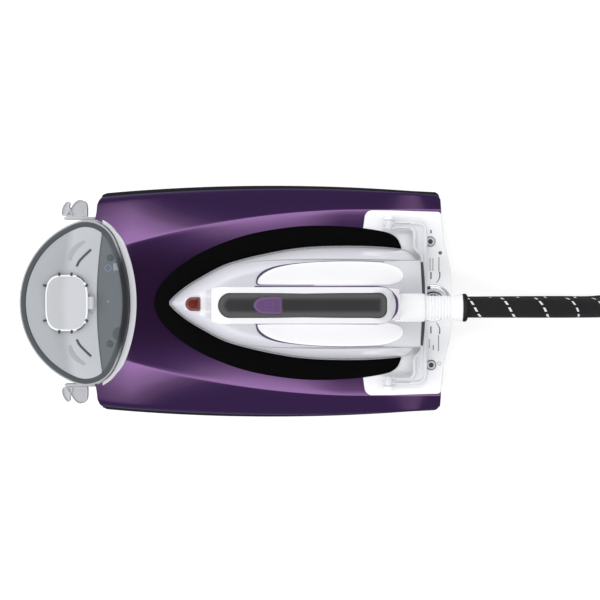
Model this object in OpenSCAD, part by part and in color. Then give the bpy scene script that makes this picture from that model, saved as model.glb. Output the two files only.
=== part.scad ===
// Steam generator iron: a base with boiler and lift-off water tank, and an iron on a steam hose.
// X runs from the tank (-) to the control deck (+), Y to the left side, Z up from the table.

/* [Base] */
// Reach of the tank in front of the origin
tank_front = 222; // [216:1:230]
// Reach of the control deck behind the iron's heel
deck_behind = 35; // [32:1:41]
// Half width of the base at its widest
body_half_w = 122; // [118:1:126]
// Radius of the long bowed sides of the base
side_bow_r = 2315; // [1800:5:4000]
// Reach of the purple shell behind the iron's heel
shell_behind = 22; // [20:1:25]
// Height of the top deck above the table
deck_z = 110; // [106:1:116]
// Wall of the moulded shells
wall = 3; // [2:0.5:4]
// Height of the rubber feet
foot_h = 8; // [6:1:12]
// Radius of a rubber foot
foot_r = 11; // [8:1:13]
// Height of the dark skirt above the feet
skirt_h = 20; // [16:1:24]
// Width of the dark skirt outside the purple shell
skirt_step = 4.5; // [3:0.5:6]

/* [Tank] */
// Radius of the tank's front arc
tank_r = 88.4; // [86:0.2:90]
// Radius of the tank's rear arc
tank_rear_r = 137; // [134:1:140]
// Radius of the tank's rounded side corners
tank_tip_r = 24; // [20:1:28]
// Height of the tank cover's rim above the deck
tank_rise = 14; // [8:1:20]
// Wall of the clear tank
tank_wall = 2.4; // [2:0.2:3]
// Gap between tank and base
tank_gap = 0.8; // [0.6:0.1:1.2]
// Length of the filling lid
lid_l = 44; // [40:1:48]
// Width of the filling lid
lid_w = 56; // [52:1:60]

/* [Deck] */
// Thickness of the white control deck
deck_t = 3.5; // [3:0.5:5]
// Width of the control deck outside the lock hoop
deck_margin = 10.3; // [8:0.1:12]
// Height of the black rest pad
pad_t = 4; // [3:0.5:5]
// Radius of the steam dial
dial_r = 13; // [11:0.5:15]
// Radius of a push button
button_r = 4.5; // [4:0.5:6]
// Travel of a push button
button_travel = 1.5; // [1:0.1:2]
// Width of the lock hoop's band
hoop_w = 9; // [8:0.5:10]
// Half width of the lock hoop
hoop_half_w = 85; // [82:0.5:88]
// Radius of the lock hoop's pivot pins
hoop_pin_r = 2.5; // [2:0.1:3]

/* [Iron] */
// Length of the iron from tip to heel
iron_l = 255; // [250:1:258]
// Half width of the iron at its widest
iron_half_w = 58.5; // [56:0.5:60]
// Height of the iron's casing
casing_h = 46; // [42:1:50]
// Wall of the iron's casing
iron_wall = 2.5; // [2:0.1:3]
// Half width of the handle
handle_half_w = 18.3; // [16:0.1:20]
// Height of the finger gap under the handle
grip_gap = 48; // [44:1:52]
// Thickness of the handle bar
handle_t = 34; // [30:1:38]
// Width of the dark grip strip
strip_w = 23.2; // [20:0.2:26]
// Travel of the steam button
trigger_travel = 3; // [2:0.5:4]
// Diameter of the ribbed hose boot
boot_d = 24; // [22.5:0.5:26]
// Diameter of the steam hose
hose_d = 20; // [18:0.5:21]

/* [Fits] */
// Radial clearance of a pin or shaft in its bore
fit = 0.05; // [0.03:0.01:0.1]
// Gap between parts that move past each other
gap = 0.4; // [0.3:0.05:0.6]

/* [Hidden] */
$fn = 64;
eps = 0.01;

// Iron's place on the base
iron_tip = -68;
iron_rear = iron_tip + iron_l;
shell_rear = iron_rear + shell_behind;
deck_rear = iron_rear + deck_behind;
deck_half_w = hoop_half_w + deck_margin;

// Heights
tray_z = foot_h;
floor_z = tray_z + wall;
skirt_z = foot_h + skirt_h;
pad_z = deck_z + pad_t;
deck_top = deck_z + deck_t;
sole_z = pad_z + gap;
sole_h = 3.6;
casing_z = sole_z + sole_h;
casing_top = casing_z + casing_h;
gap_top = casing_top + grip_gap;
handle_top = gap_top + handle_t;
tank_z = floor_z + 3 + gap;
tank_top = deck_z + tank_rise;

// Plan of the base
body_mid = 25;
body_front = -148;
tank_mid = tank_r - tank_front;
tank_rear_mid = tank_mid - 113;
bay = tank_gap + 3.7;

// The side corner of the tank is a small arc that touches both large ones
tip_a = tank_r - tank_tip_r;
tip_b = tank_rear_r - tank_tip_r;
tip_x = (tip_b * tip_b - tip_a * tip_a + 113 * 113) / 226;
tip_y = sqrt(tip_b * tip_b - tip_x * tip_x);
tip_front = atan2(tip_y, tip_x - 113);
tip_rear = atan2(tip_y, tip_x);

function arc(x, y, r, a, b, n) = [for (i = [0:n]) let (t = a + (b - a) * i / n)
    [x + r * cos(t), y + r * sin(t)]];
function tank_pts(g) = concat(
    arc(tank_rear_mid, 0, tank_rear_r + g, -tip_rear, tip_rear, 14),
    arc(tank_rear_mid + tip_x, tip_y, tank_tip_r + g, tip_rear + 8, tip_front - 6, 6),
    arc(tank_mid, 0, tank_r + g, tip_front, 360 - tip_front, 26),
    arc(tank_rear_mid + tip_x, -tip_y, tank_tip_r + g, 366 - tip_front, 352 - tip_rear, 6));
function side_y(x, inset) = body_half_w - inset - side_bow_r
    + sqrt(pow(side_bow_r, 2) - pow(x - body_mid, 2));
// Crease where the side panels meet the deck, drawn as a bow towards the rear
crease_front = -98;
crease_rear = iron_rear - 57;
function crease_y(x) = deck_half_w
    - 31.3 * pow((crease_rear - min(x, crease_rear)) / (crease_rear - crease_front), 2.1);
function mirrored(pts) = concat(pts, [for (i = [len(pts) - 1:-1:0]) [pts[i][0], -pts[i][1]]]);
function body_pts(inset, front, rear) = mirrored(concat(
    [[front, 84], [front, 102 - inset], [front + 11, side_y(front + 11, inset)]],
    [for (i = [0:12]) let (x = -120 + (rear + 120) * i / 12) [x, side_y(x, inset)]]));
function crease_pts(front, rear, inset) = mirrored(
    [for (i = [0:12]) let (x = front + (rear - front) * i / 12) [x, crease_y(x) - inset]]);
function grown(pts, g) = [for (p = pts) [p[0] + g * (p[0] < 0 ? -1 : 1), p[1] + g]];

module slab(pts, z, h) { translate([0, 0, z]) linear_extrude(h) polygon(pts); }
module pair() { children(); mirror([0, 1, 0]) children(); }
module disc(x, y, z, r, h) { translate([x, y, z]) cylinder(r = r, h = h); }
module block(x, y, z, l, w, h) { translate([x - l / 2, y - w / 2, z]) cube([l, w, h]); }
module ring(x, y, z, r, hole, h) {
    translate([x, y, z]) difference() {
        cylinder(r = r, h = h);
        translate([0, 0, -1]) cylinder(r = hole, h = h + 2);
    }
}
module rounded(x0, x1, half_w, r, z, h) {
    for (x = [x0 + r, x1 - r]) pair() disc(x, half_w - r, z, r, h);
    translate([x0, r - half_w, z]) cube([x1 - x0, 2 * (half_w - r), h]);
    translate([x0 + r, -half_w, z]) cube([x1 - x0 - 2 * r, 2 * half_w, h]);
}
module lying(x, y, z, r, l) { translate([x, y, z]) rotate([0, 90, 0]) cylinder(r = r, h = l); }
module across(x, y, z, r, l) { translate([x, y, z]) rotate([-90, 0, 0]) cylinder(r = r, h = l); }

// Places on the deck and inside
window_x = iron_rear - 11;
window_half_w = 80;
dial_x = iron_rear + 16;
power_pos = [iron_rear + 14, -64];
eco_pos = [iron_rear + 13, 63];
hoop_x = iron_rear - 30;
dial_h = 4;
hoop_z = deck_top - 1 + dial_h + 2 * gap + hoop_w / 2;
ear_t = 4;
hose_y = -4.5;
gland_z = 46;
gland_end = deck_rear - 2;
mains_y = 45;
mains_z = 66;
valve_x = tank_rear_mid + tank_rear_r - 15.4;
boiler_r = 36;
boiler_x = 0;
boiler_l = 130;
boiler_z = floor_z + 4 + boiler_r;
board_z = deck_z - 18;
board_t = 2;
posts = [[-80, 55], [iron_rear - 37, body_half_w - 37]];
rinse_x = 65;

// Rim of the rest pad: how far it lies from the iron's tip, and how wide it is
function pad_pts(g) = mirrored(grown([for (p = [[-16, 3], [-11, 16], [4, 33], [28, 49.5],
    [53, 61], [78, 69.5], [104, 75], [132, 78.6], [158, 79.4], [188, 78], [211, 75],
    [226, 71.5], [234, 66], [238, 57.6]])
    [iron_tip + (p[0] < 0 ? p[0] : p[0] * iron_l / 255), p[1] + iron_half_w - 58.5]], g));

// ---- Base ----
module base_tray() {
    color([0.14, 0.12, 0.16]) difference() {
        union() {
            difference() {
                slab(body_pts(0, body_front, shell_rear + 2), tray_z, skirt_h);
                difference() {
                    slab(body_pts(skirt_step + wall, body_front + 8, shell_rear - wall),
                        floor_z, skirt_h);
                    slab(tank_pts(bay + wall), floor_z - 1, skirt_h + 2);
                }
                slab(tank_pts(bay), floor_z, skirt_h);
            }
            slab(tank_pts(-6), tray_z, wall);
        }
        for (p = posts) pair() disc(p[0], p[1], tray_z - 1, 2.2, wall + 2);
        disc(rinse_x, 0, tray_z - 1, 8 + gap, wall + 2);
    }
}

module rubber_feet() {
    color([0.1, 0.1, 0.1]) {
        pair() disc(-128, body_half_w - 25, 0, foot_r, foot_h);
        pair() disc(shell_rear - 19, body_half_w - 27, 0, foot_r, foot_h);
        disc(-196, 0, 0, foot_r, foot_h);
    }
}

module base_screws() {
    color([0.6, 0.6, 0.62]) for (p = posts) pair() {
        disc(p[0], p[1], tray_z - 2, 4, 2);
        disc(p[0], p[1], tray_z - 1, 1.8, wall + 11);
    }
}

module shell_form(inset, top, rear) {
    hull() {
        slab(body_pts(skirt_step + inset, body_front + 3 + inset, rear), skirt_z - eps, 1);
        slab(body_pts(skirt_step + 5 + inset, body_front + 7 + inset, rear), skirt_z + 42, 1);
        slab(crease_pts(-106, rear, inset), top - 1, 1);
    }
}

module top_shell() {
    color([0.3, 0.17, 0.37]) difference() {
        union() {
            difference() {
                translate([0, 0, eps]) shell_form(0, deck_z - eps, shell_rear);
                difference() {
                    translate([0, 0, -eps]) shell_form(wall, deck_z - wall, shell_rear - wall);
                    slab(tank_pts(bay + wall), 0, deck_z);
                }
            }
            for (p = posts) pair() disc(p[0], p[1], floor_z, 5, deck_z - wall - floor_z + 1);
        }
        slab(tank_pts(bay), 0, deck_z + 10);
        translate([window_x, -window_half_w, deck_z - wall - 1])
            cube([shell_rear - window_x + 1, 2 * window_half_w, wall + 2]);
        translate([shell_rear - wall - 1, -70, 34]) cube([wall + 2, 140, 58]);
        for (p = posts) pair() disc(p[0], p[1], floor_z - 1, 1.8, 13);
    }
}

module rear_panel() {
    color([0.2, 0.2, 0.22]) difference() {
        translate([shell_rear - wall, -69.8, 34.2]) cube([wall, 139.6, 57.6]);
        lying(shell_rear - wall - 1, hose_y, gland_z, 12, wall + 2);
        lying(shell_rear - wall - 1, mains_y, mains_z, 7, wall + 2);
    }
}

module tank_cradle() {
    color([0.8, 0.81, 0.83]) {
        difference() {
            slab(tank_pts(-6), floor_z, 3);
            disc(valve_x, 0, floor_z - 1, 9, 5);
        }
        difference() {
            slab(tank_pts(bay), floor_z, deck_z - 3 - floor_z);
            slab(tank_pts(tank_gap), floor_z - 1, deck_z);
            translate([-260, -150, 0]) cube([260 + tank_rear_mid + tip_x + 14, 300, deck_z]);
        }
    }
}

// Hook for the wound-up hose: an arm beside the tank with two fins
module hose_clip() {
    y = tip_y + tank_tip_r + tank_gap;
    difference() {
        translate([body_front - 35, y, 42]) cube([60, 4.4, 20]);
        shell_form(0, deck_z, shell_rear);
        translate([body_front + 8, 0, 0]) cube([60, 200, 100]);
    }
    translate([body_front, y, 46]) linear_extrude(12) {
        polygon([[-33, 3.5], [-17, 21], [-10.5, 11.5], [-10.8, 3.5]]);
        polygon([[-40, 4.5], [-33, 3.5], [-25, 3.5], [-31, 19.5]]);
    }
}
module hose_clip_left() { color([0.93, 0.93, 0.94]) hose_clip(); }
module hose_clip_right() { color([0.93, 0.93, 0.94]) mirror([0, 1, 0]) hose_clip(); }

module control_deck() {
    edge = mirrored([[iron_rear - 67, deck_half_w - 20], [iron_rear - 60, deck_half_w - 3.6],
        [iron_rear - 54, deck_half_w], [deck_rear - 11, deck_half_w - 2],
        [deck_rear - 7.5, 61], [deck_rear - 3, 54], [deck_rear, 11]]);
    color([0.95, 0.95, 0.96]) difference() {
        union() {
            slab(edge, deck_z, deck_t);
            difference() {
                slab(edge, deck_z - 16, 16.5);
                translate([0, -150, 0]) cube([shell_rear, 300, deck_z]);
            }
            for (x = [window_x + 6, shell_rear - 12]) pair()
                disc(x, 75, board_z + board_t, 3, deck_z - board_z - board_t + 0.5);
            pair() disc(iron_rear, hoop_half_w - 4.5, deck_top - 0.5, 3.5,
                hoop_z - hoop_w / 2 - gap - deck_top + 0.5);
            pair() hull() {
                translate([hoop_x - 4.5, hoop_half_w + gap, deck_top - 0.5]) cube([9, ear_t, 1]);
                across(hoop_x, hoop_half_w + gap, hoop_z, 4.5, ear_t);
            }
        }
        slab(pad_pts(gap), deck_z - 1, deck_t + 2);
        disc(dial_x, 0, deck_z - 1, 3 + fit, deck_t + 2);
        disc(dial_x, 0, deck_top - 1, 18.5, 2);
        disc(power_pos[0], power_pos[1], deck_z - 1, button_r + gap, deck_t + 2);
        disc(eco_pos[0], eco_pos[1], deck_z - 1, button_r + gap, deck_t + 2);
        across(hoop_x, -100, hoop_z, hoop_pin_r, 200);
    }
}

module rest_pad() {
    color([0.05, 0.05, 0.06]) difference() {
        slab(pad_pts(0), deck_z, pad_t + 1);
        slab(pad_pts(-3), deck_z + pad_t, 2);
        translate([iron_rear - 47, 3.5 - iron_half_w, deck_z + pad_t])
            cube([40, 2 * iron_half_w - 7, 2]);
    }
}

module hoop_pins() {
    color([0.7, 0.7, 0.72]) pair()
        across(hoop_x, hoop_half_w - 9, hoop_z, hoop_pin_r, 9 + gap + ear_t);
}

module boiler_shell() {
    color([0.75, 0.76, 0.78]) difference() {
        lying(boiler_x, 0, boiler_z, boiler_r, boiler_l);
        lying(boiler_x + 2.5, 0, boiler_z, boiler_r - 2.5, boiler_l - 5);
    }
}
module boiler_heater() {
    color([0.5, 0.5, 0.52]) pair()
        lying(boiler_x + 2.5, 10, boiler_z - 20, 4, boiler_l - 20);
}
module boiler_straps() {
    color([0.55, 0.56, 0.58]) for (x = [20, 100]) difference() {
        block(boiler_x + x, 0, floor_z, 10, 2 * boiler_r + 8, boiler_z - floor_z);
        lying(boiler_x + x - 6, 0, boiler_z, boiler_r, 12);
    }
}
module on_boiler() {
    difference() {
        children();
        lying(boiler_x - 1, 0, boiler_z, boiler_r, boiler_l + 2);
    }
}
module safety_valve() {
    color([0.78, 0.6, 0.3]) on_boiler() disc(boiler_x + 30, 0, boiler_z + boiler_r - 6, 8, 18);
}
module solenoid_valve() {
    color([0.25, 0.25, 0.28]) on_boiler()
        block(boiler_x + 70, hose_y, boiler_z + boiler_r - 8, 26, 26, 24);
}
module pressure_switch() {
    color([0.85, 0.85, 0.8]) on_boiler() disc(boiler_x + 108, 18, boiler_z + boiler_r - 14, 9, 26);
}
module pump() {
    color([0.8, 0.8, 0.76]) {
        translate([-62, -20, floor_z]) cube([42, 34, 34]);
        lying(-78, -3, floor_z + 17, 10, 16);
    }
}
module water_pipe() {
    color([0.85, 0.87, 0.9]) lying(-20, -3, floor_z + 17, 3, 20);
}
module steam_pipe() {
    z = boiler_z + boiler_r + 8;
    color([0.8, 0.8, 0.82]) {
        lying(boiler_x + 83, hose_y, z, 4, 70);
        translate([boiler_x + 153, hose_y, z]) sphere(4);
        disc(boiler_x + 153, hose_y, gland_z, 4, z - gland_z);
        translate([boiler_x + 153, hose_y, gland_z]) sphere(4);
        lying(boiler_x + 153, hose_y, gland_z, 4, shell_rear - 9 - boiler_x - 153);
    }
}
module control_board() {
    color([0.1, 0.35, 0.2]) {
        translate([window_x + 2, -78, board_z]) cube([26, 156, board_t]);
        block(dial_x - 7, 0, board_z + board_t - 1, 16, 14, 10);
        for (p = [power_pos, eco_pos])
            block(p[0] - 2, p[1], board_z + board_t - 1, 10, 8, deck_z - 7 - board_z);
    }
}
module valve_seat() {
    color([0.3, 0.3, 0.32]) ring(valve_x, 0, floor_z, 9, 6, 3);
}
module mains_gland() {
    color([0.1, 0.1, 0.1]) difference() {
        union() {
            lying(shell_rear - 7, mains_y, mains_z, 7, 18);
            lying(shell_rear, mains_y, mains_z, 10, 3);
        }
        lying(shell_rear - 8, mains_y, mains_z, 4, 20);
    }
}
module hose_gland() {
    color([0.1, 0.1, 0.1]) {
        lying(shell_rear - 9, hose_y, gland_z, 12, gland_end - shell_rear + 9);
        lying(shell_rear, hose_y, gland_z, 16, 4);
    }
}

// ---- Moving pieces of the base ----
module rinse_cap() {
    color([0.2, 0.2, 0.2]) {
        disc(rinse_x, 0, tray_z - 5, 13, 5 - gap);
        disc(rinse_x, 0, tray_z - 1, 8, 7 - gap);
    }
}
module lock_hoop() {
    back = deck_rear - 24;
    color([0.95, 0.95, 0.96]) difference() {
        union() {
            pair() translate([hoop_x, hoop_half_w - 9, hoop_z - hoop_w / 2])
                cube([back - hoop_x - 5, 9, hoop_w - 1]);
            pair() across(hoop_x, hoop_half_w - 9, hoop_z, hoop_w / 2, 9);
            translate([back - 8.5, 5 - hoop_half_w, hoop_z - hoop_w / 2])
                cube([8.5, 2 * hoop_half_w - 10, hoop_w - 1]);
            pair() disc(back - 8, hoop_half_w - 8, hoop_z - hoop_w / 2, 8, hoop_w - 1);
        }
        across(hoop_x, -hoop_half_w - 1, hoop_z, hoop_pin_r + fit, 2 * hoop_half_w + 2);
        pair() translate([back - 20, hoop_half_w - 21, hoop_z - 10]) cube([11.5, 12, 20]);
    }
}
module steam_dial() {
    color([0.75, 0.76, 0.78]) {
        disc(dial_x, 0, deck_top - 1 + gap, dial_r, dial_h);
        disc(dial_x, 0, board_z + board_t + 9.5, 3, deck_top - board_z - 11);
    }
}
module push_button(pos) {
    disc(pos[0], pos[1], deck_z - 2, button_r, deck_t + 3.5);
    disc(pos[0], pos[1], deck_z - 2, 6, 2 - gap);
    disc(pos[0], pos[1], deck_z - 6 + button_travel, 1.5, 5);
}
module power_button() { color([0.8, 0.8, 0.82]) push_button(power_pos); }
module eco_button() { color([0.8, 0.8, 0.82]) push_button(eco_pos); }

// ---- Tank ----
cover_z = tank_top - 12;
lid_front = -195;
lid_z = tank_top - 3 + gap;
hinge_x = lid_front + lid_l + 4;
hinge_z = tank_top - 3 + 3 + gap;
hinge_r = 3;
lid_pin_r = 1;

module tank_shell() {
    color([0.8, 0.82, 0.84, 0.5]) difference() {
        slab(tank_pts(0), tank_z, cover_z - tank_z);
        slab(tank_pts(-tank_wall), tank_z + tank_wall, cover_z);
        disc(valve_x, 0, tank_z - 1, 4 + gap, tank_wall + 2);
    }
}
module tank_cover() {
    color([0.5, 0.53, 0.55, 0.6]) difference() {
        union() {
            slab(tank_pts(0), cover_z, 9);
            pair() translate([hinge_x - 3, 7, cover_z + 8.5]) cube([6, 4, hinge_z - cover_z - 6]);
        }
        slab(tank_pts(-tank_wall), cover_z - 1, 10 - tank_wall);
        rounded(lid_front + 5, lid_front + lid_l - 5, lid_w / 2 - 5, 8, cover_z, 20);
        across(hinge_x, -12, hinge_z, lid_pin_r, 24);
    }
}
module tank_valve() {
    color([0.25, 0.25, 0.27]) {
        disc(valve_x, 0, tank_z - 2, 4, tank_wall + 4);
        disc(valve_x, 0, tank_z + tank_wall, 8, 3);
    }
}
module tank_spring() {
    color([0.7, 0.7, 0.72]) ring(valve_x, 0, tank_z + tank_wall + 3, 5, 4, 8);
}
module lid_pin() {
    color([0.7, 0.7, 0.72]) across(hinge_x, -11, hinge_z, lid_pin_r, 22);
}
module fill_lid() {
    color([0.7, 0.73, 0.76, 0.7]) difference() {
        union() {
            rounded(lid_front, lid_front + lid_l, lid_w / 2, 10, lid_z, 3);
            translate([lid_front + lid_l - 5, -6.6, lid_z]) cube([9, 13.2, 3]);
            across(hinge_x, -6.6, hinge_z, hinge_r, 13.2);
        }
        across(hinge_x, -8, hinge_z, lid_pin_r + fit, 16);
    }
}

// ---- Iron ----
grip_front = iron_tip + 55;
grip_rear = iron_rear - 37;
button_front = iron_tip + 87.5;
button_l = 29;
button_w = 17.4;
strip_z = handle_top - 2;
boot_z = gap_top - 22.6;
boot_x = iron_rear + 3;
boot_end = 227;
collar_end = 232;

// Plan of the iron: half widths from tip to heel, scaled to its length and width
function iron_pts(inset, rear) = mirrored([for (p = [[0, 0.03], [0.024, 0.14], [0.07, 0.3],
    [0.13, 0.46], [0.215, 0.655], [0.306, 0.78], [0.408, 0.88], [0.5, 0.95], [0.604, 0.99],
    [0.74, 1], [0.843, 0.985], [0.918, 0.955], [0.965, 0.9], [0.99, 0.78], [1, 0.65]])
    let (front = iron_tip + 1.6 * inset)
    [front + p[0] * (rear - front), p[1] * (iron_half_w - inset)]]);

module soleplate() {
    color([0.72, 0.73, 0.75]) difference() {
        slab(iron_pts(1.5, iron_rear - 1.5), sole_z, sole_h - 1.6);
        for (i = [0:5]) pair() disc(-30 + 30 * i, 16 + 3.5 * i, sole_z - 1, 1.5, sole_h + 2);
    }
}
module sole_trim() {
    color([0.8, 0.81, 0.83]) difference() {
        slab(iron_pts(0, iron_rear), casing_z - 1.6, 1.6);
        slab(iron_pts(6, iron_rear - 6), casing_z - 3, 6);
    }
}
module casing_form(inset, top) {
    hull() {
        slab(iron_pts(0.4 + inset, iron_rear - inset), casing_z - eps, 1);
        slab(iron_pts(1.2 + inset, iron_rear - 1 - inset), casing_z + 9, 1);
        slab(iron_pts(5 + inset, iron_rear - 10 - inset), casing_z + 25, 1);
        slab(iron_pts(14 + inset, iron_rear - 16 - inset), top - 1, 1);
    }
}
module iron_casing() {
    color([0.93, 0.94, 0.95]) difference() {
        translate([0, 0, eps]) casing_form(0, casing_top - eps);
        translate([0, 0, -eps]) casing_form(iron_wall, casing_top - iron_wall);
    }
}
module steam_chamber() {
    color([0.6, 0.6, 0.62]) slab(iron_pts(13, iron_rear - 30), casing_z - 1.6, 18);
}
module iron_heater() {
    color([0.4, 0.4, 0.42]) {
        pair() lying(0, 20, casing_z + 16.4 + 3.5, 3.5, 120);
        translate([0, 0, casing_z + 16.4 + 3.5]) rotate([0, 0, 90])
            rotate_extrude(angle = 180) translate([20, 0]) circle(3.5);
    }
}
module thermostat() {
    color([0.8, 0.75, 0.6]) disc(60, 0, casing_z + 16.4, 12, 14);
}

module side_profile(pts, half_w) {
    rotate([90, 0, 0]) translate([0, 0, -half_w]) linear_extrude(2 * half_w) polygon(pts);
}
module handle_shell() {
    z = casing_top;
    nose = iron_tip + 18;
    outer = concat([[nose, z], [nose + 1, z + 11], [nose + 19, z + 11], [nose + 26, z + 32],
        [nose + 33, z + 52]],
        arc(nose + 52, z + 56, handle_top - z - 56, 160, 90, 6),
        arc(iron_rear - 51, z + 54, handle_top - z - 54, 90, 10, 8),
        [[iron_rear - 23, z + 46], [iron_rear - 23, z]]);
    opening = concat([[nose + 60, z], [nose + 54, z + 16], [nose + 58, z + 34]],
        arc(nose + 78, z + grip_gap - 16, 16, 140, 90, 4),
        arc(iron_rear - 67, z + grip_gap - 16, 16, 90, 20, 5),
        [[iron_rear - 48, z + 18], [iron_rear - 51, z]]);
    plan = mirrored([[nose - 2, 4], [nose + 3, handle_half_w - 8], [nose + 20, handle_half_w - 2],
        [nose + 42, handle_half_w], [iron_rear - 35, handle_half_w],
        [iron_rear - 27, handle_half_w - 1], [iron_rear - 21, handle_half_w - 3]]);
    color([0.93, 0.94, 0.95]) difference() {
        intersection() {
            side_profile(outer, handle_half_w);
            slab(plan, z, 200);
        }
        side_profile(opening, 40);
        rounded(grip_front, grip_rear, strip_w / 2, 8, strip_z, 10);
        rounded(grip_front + 4, grip_rear - 4, button_w / 2 + gap, 6, gap_top + 3, 60);
    }
}
module grip_strip() {
    color([0.16, 0.16, 0.17]) difference() {
        rounded(grip_front, grip_rear, strip_w / 2, 8, strip_z, 4.5);
        button_plan(gap, strip_z - 1, 8);
    }
}
module button_plan(g, z, h) {
    r = button_w / 2;
    disc(button_front + r, 0, z, r + g, h);
    translate([button_front + r, -r - g, z]) cube([button_l - r + g, 2 * (r + g), h]);
}
module steam_button() {
    color([0.36, 0.22, 0.47]) {
        button_plan(0, strip_z - 5, 11);
        translate([button_front - 4, -6, strip_z - 5]) cube([button_l + 8, 12, 5 - gap]);
    }
}
module trigger_spring() {
    color([0.7, 0.7, 0.72])
        ring(button_front + 20, 0, gap_top + 3, 4, 3, strip_z - 8 - gap_top);
}
module micro_switch() {
    color([0.1, 0.1, 0.1]) translate([button_front - 4, -5, gap_top + 3]) cube([16, 10, 16]);
}
module trim_line() {
    z = gap_top + handle_t * 0.45;
    color([0.36, 0.22, 0.47]) pair() translate([0, handle_half_w, z]) cube([iron_rear - 47, 0.8, 2]);
}
module lamp_lens() {
    color([0.5, 0.12, 0.1]) intersection() {
        disc(iron_tip + 28, 0, casing_top + 11, 8, 4);
        translate([iron_tip + 19, -7.6, casing_top]) cube([16, 15.2, 20]);
    }
}
module heel_cover() {
    color([0.93, 0.94, 0.95]) lying(iron_rear - 23, hose_y, boot_z, 14, boot_x - iron_rear + 23);
}
module hose_boot() {
    ribs = 9;
    pitch = (boot_end - boot_x) / ribs;
    color([0.93, 0.93, 0.94]) {
        lying(boot_x, hose_y, boot_z, boot_d / 2 - 1.6, boot_end - boot_x);
        for (i = [0:ribs - 1])
            lying(boot_x + pitch * (i + 0.2), hose_y, boot_z, boot_d / 2, pitch * 0.6);
    }
}
module boot_collar() {
    color([0.05, 0.05, 0.05]) lying(boot_end, hose_y, boot_z, 14, collar_end - boot_end);
}

// ---- Steam hose ----
coil_x = 640;
coil_r = 100;
coil_top = 50;
run_points = [[232, -4.5, 190], [262, -4.5, 190], [292, -4.5, 188], [322, -4.5, 181],
    [350, -4.5, 166], [374, -4.5, 144], [394, -4.5, 117], [412, -5, 88], [430, -6, 60],
    [450, -8, 37], [474, -15, 20], [502, -29, 12], [530, -50, 10], [560, -74, 10],
    [590, -91, 10], [618, -99, 10], [640, -100, 10]];
return_points = [[640, 100, 40], [610, 98, 37], [580, 91, 30], [550, 79, 22], [520, 63, 15],
    [490, 44, 11], [460, 25, 10], [430, 9, 10], [405, -1, 10], [380, -4.5, 10],
    [350, -4.5, 10], [330, -4.5, 12], [310, -4.5, 18], [288, -4.5, 28], [266, -4.5, 38],
    [248, -4.5, 44], [232, -4.5, 46], [220, -4.5, 46]];

function unit(v) = v / norm(v);
function along(p, i) = i == 0 ? [1, 0, 0] * sign(p[1][0] - p[0][0])
    : unit(p[min(i + 1, len(p) - 1)] - p[i - 1]);
module tube(p, r, sides) {
    rings = [for (i = [0:len(p) - 1]) let (t = along(p, i), s = unit(cross(t, [0, 1, 0])),
        u = cross(s, t)) for (k = [0:sides - 1])
        p[i] + r * (cos(360 * k / sides) * s + sin(360 * k / sides) * u)];
    n = len(p) - 1;
    polyhedron(rings, concat(
        [[for (k = [0:sides - 1]) k]], [[for (k = [sides - 1:-1:0]) n * sides + k]],
        [for (i = [0:n - 1], k = [0:sides - 1]) let (a = i * sides + k,
            b = i * sides + (k + 1) % sides) [b, a, a + sides, b + sides]]));
}
module hose_run() { color([0.12, 0.12, 0.13]) tube(run_points, hose_d / 2, 12); }
module hose_return() { color([0.12, 0.12, 0.13]) tube(return_points, hose_d / 2, 12); }
module hose_coil() {
    color([0.12, 0.12, 0.13])
        ring(coil_x, 0, 0, coil_r + hose_d / 2, coil_r - hose_d / 2, coil_top);
}

base_tray();
rubber_feet();
base_screws();
top_shell();
rear_panel();
tank_cradle();
hose_clip_left();
hose_clip_right();
control_deck();
rest_pad();
boiler_shell();
boiler_heater();
boiler_straps();
pump();
solenoid_valve();
safety_valve();
pressure_switch();
water_pipe();
steam_pipe();
control_board();
valve_seat();
mains_gland();
hose_gland();
hoop_pins();
rinse_cap();
lock_hoop();
steam_dial();
power_button();
eco_button();
tank_shell();
tank_cover();
tank_valve();
tank_spring();
lid_pin();
fill_lid();
soleplate();
sole_trim();
iron_casing();
steam_chamber();
iron_heater();
thermostat();
handle_shell();
grip_strip();
trim_line();
lamp_lens();
micro_switch();
trigger_spring();
steam_button();
heel_cover();
hose_boot();
boot_collar();
hose_run();
hose_coil();
hose_return();
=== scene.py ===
# %% [markdown]
# A steam generator iron: a plum base with a boiler, a smoky water tank in front, a white control
# deck at the back, and a white iron that rests on a black pad. A braided steam hose joins the two.
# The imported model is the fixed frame, and each cell dresses one piece of it. Sizes are in
# millimetres, and a helper turns them into metres.

# %% Load the frame
import math

import bmesh
import bpy
from mathutils import Matrix, Vector


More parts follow.
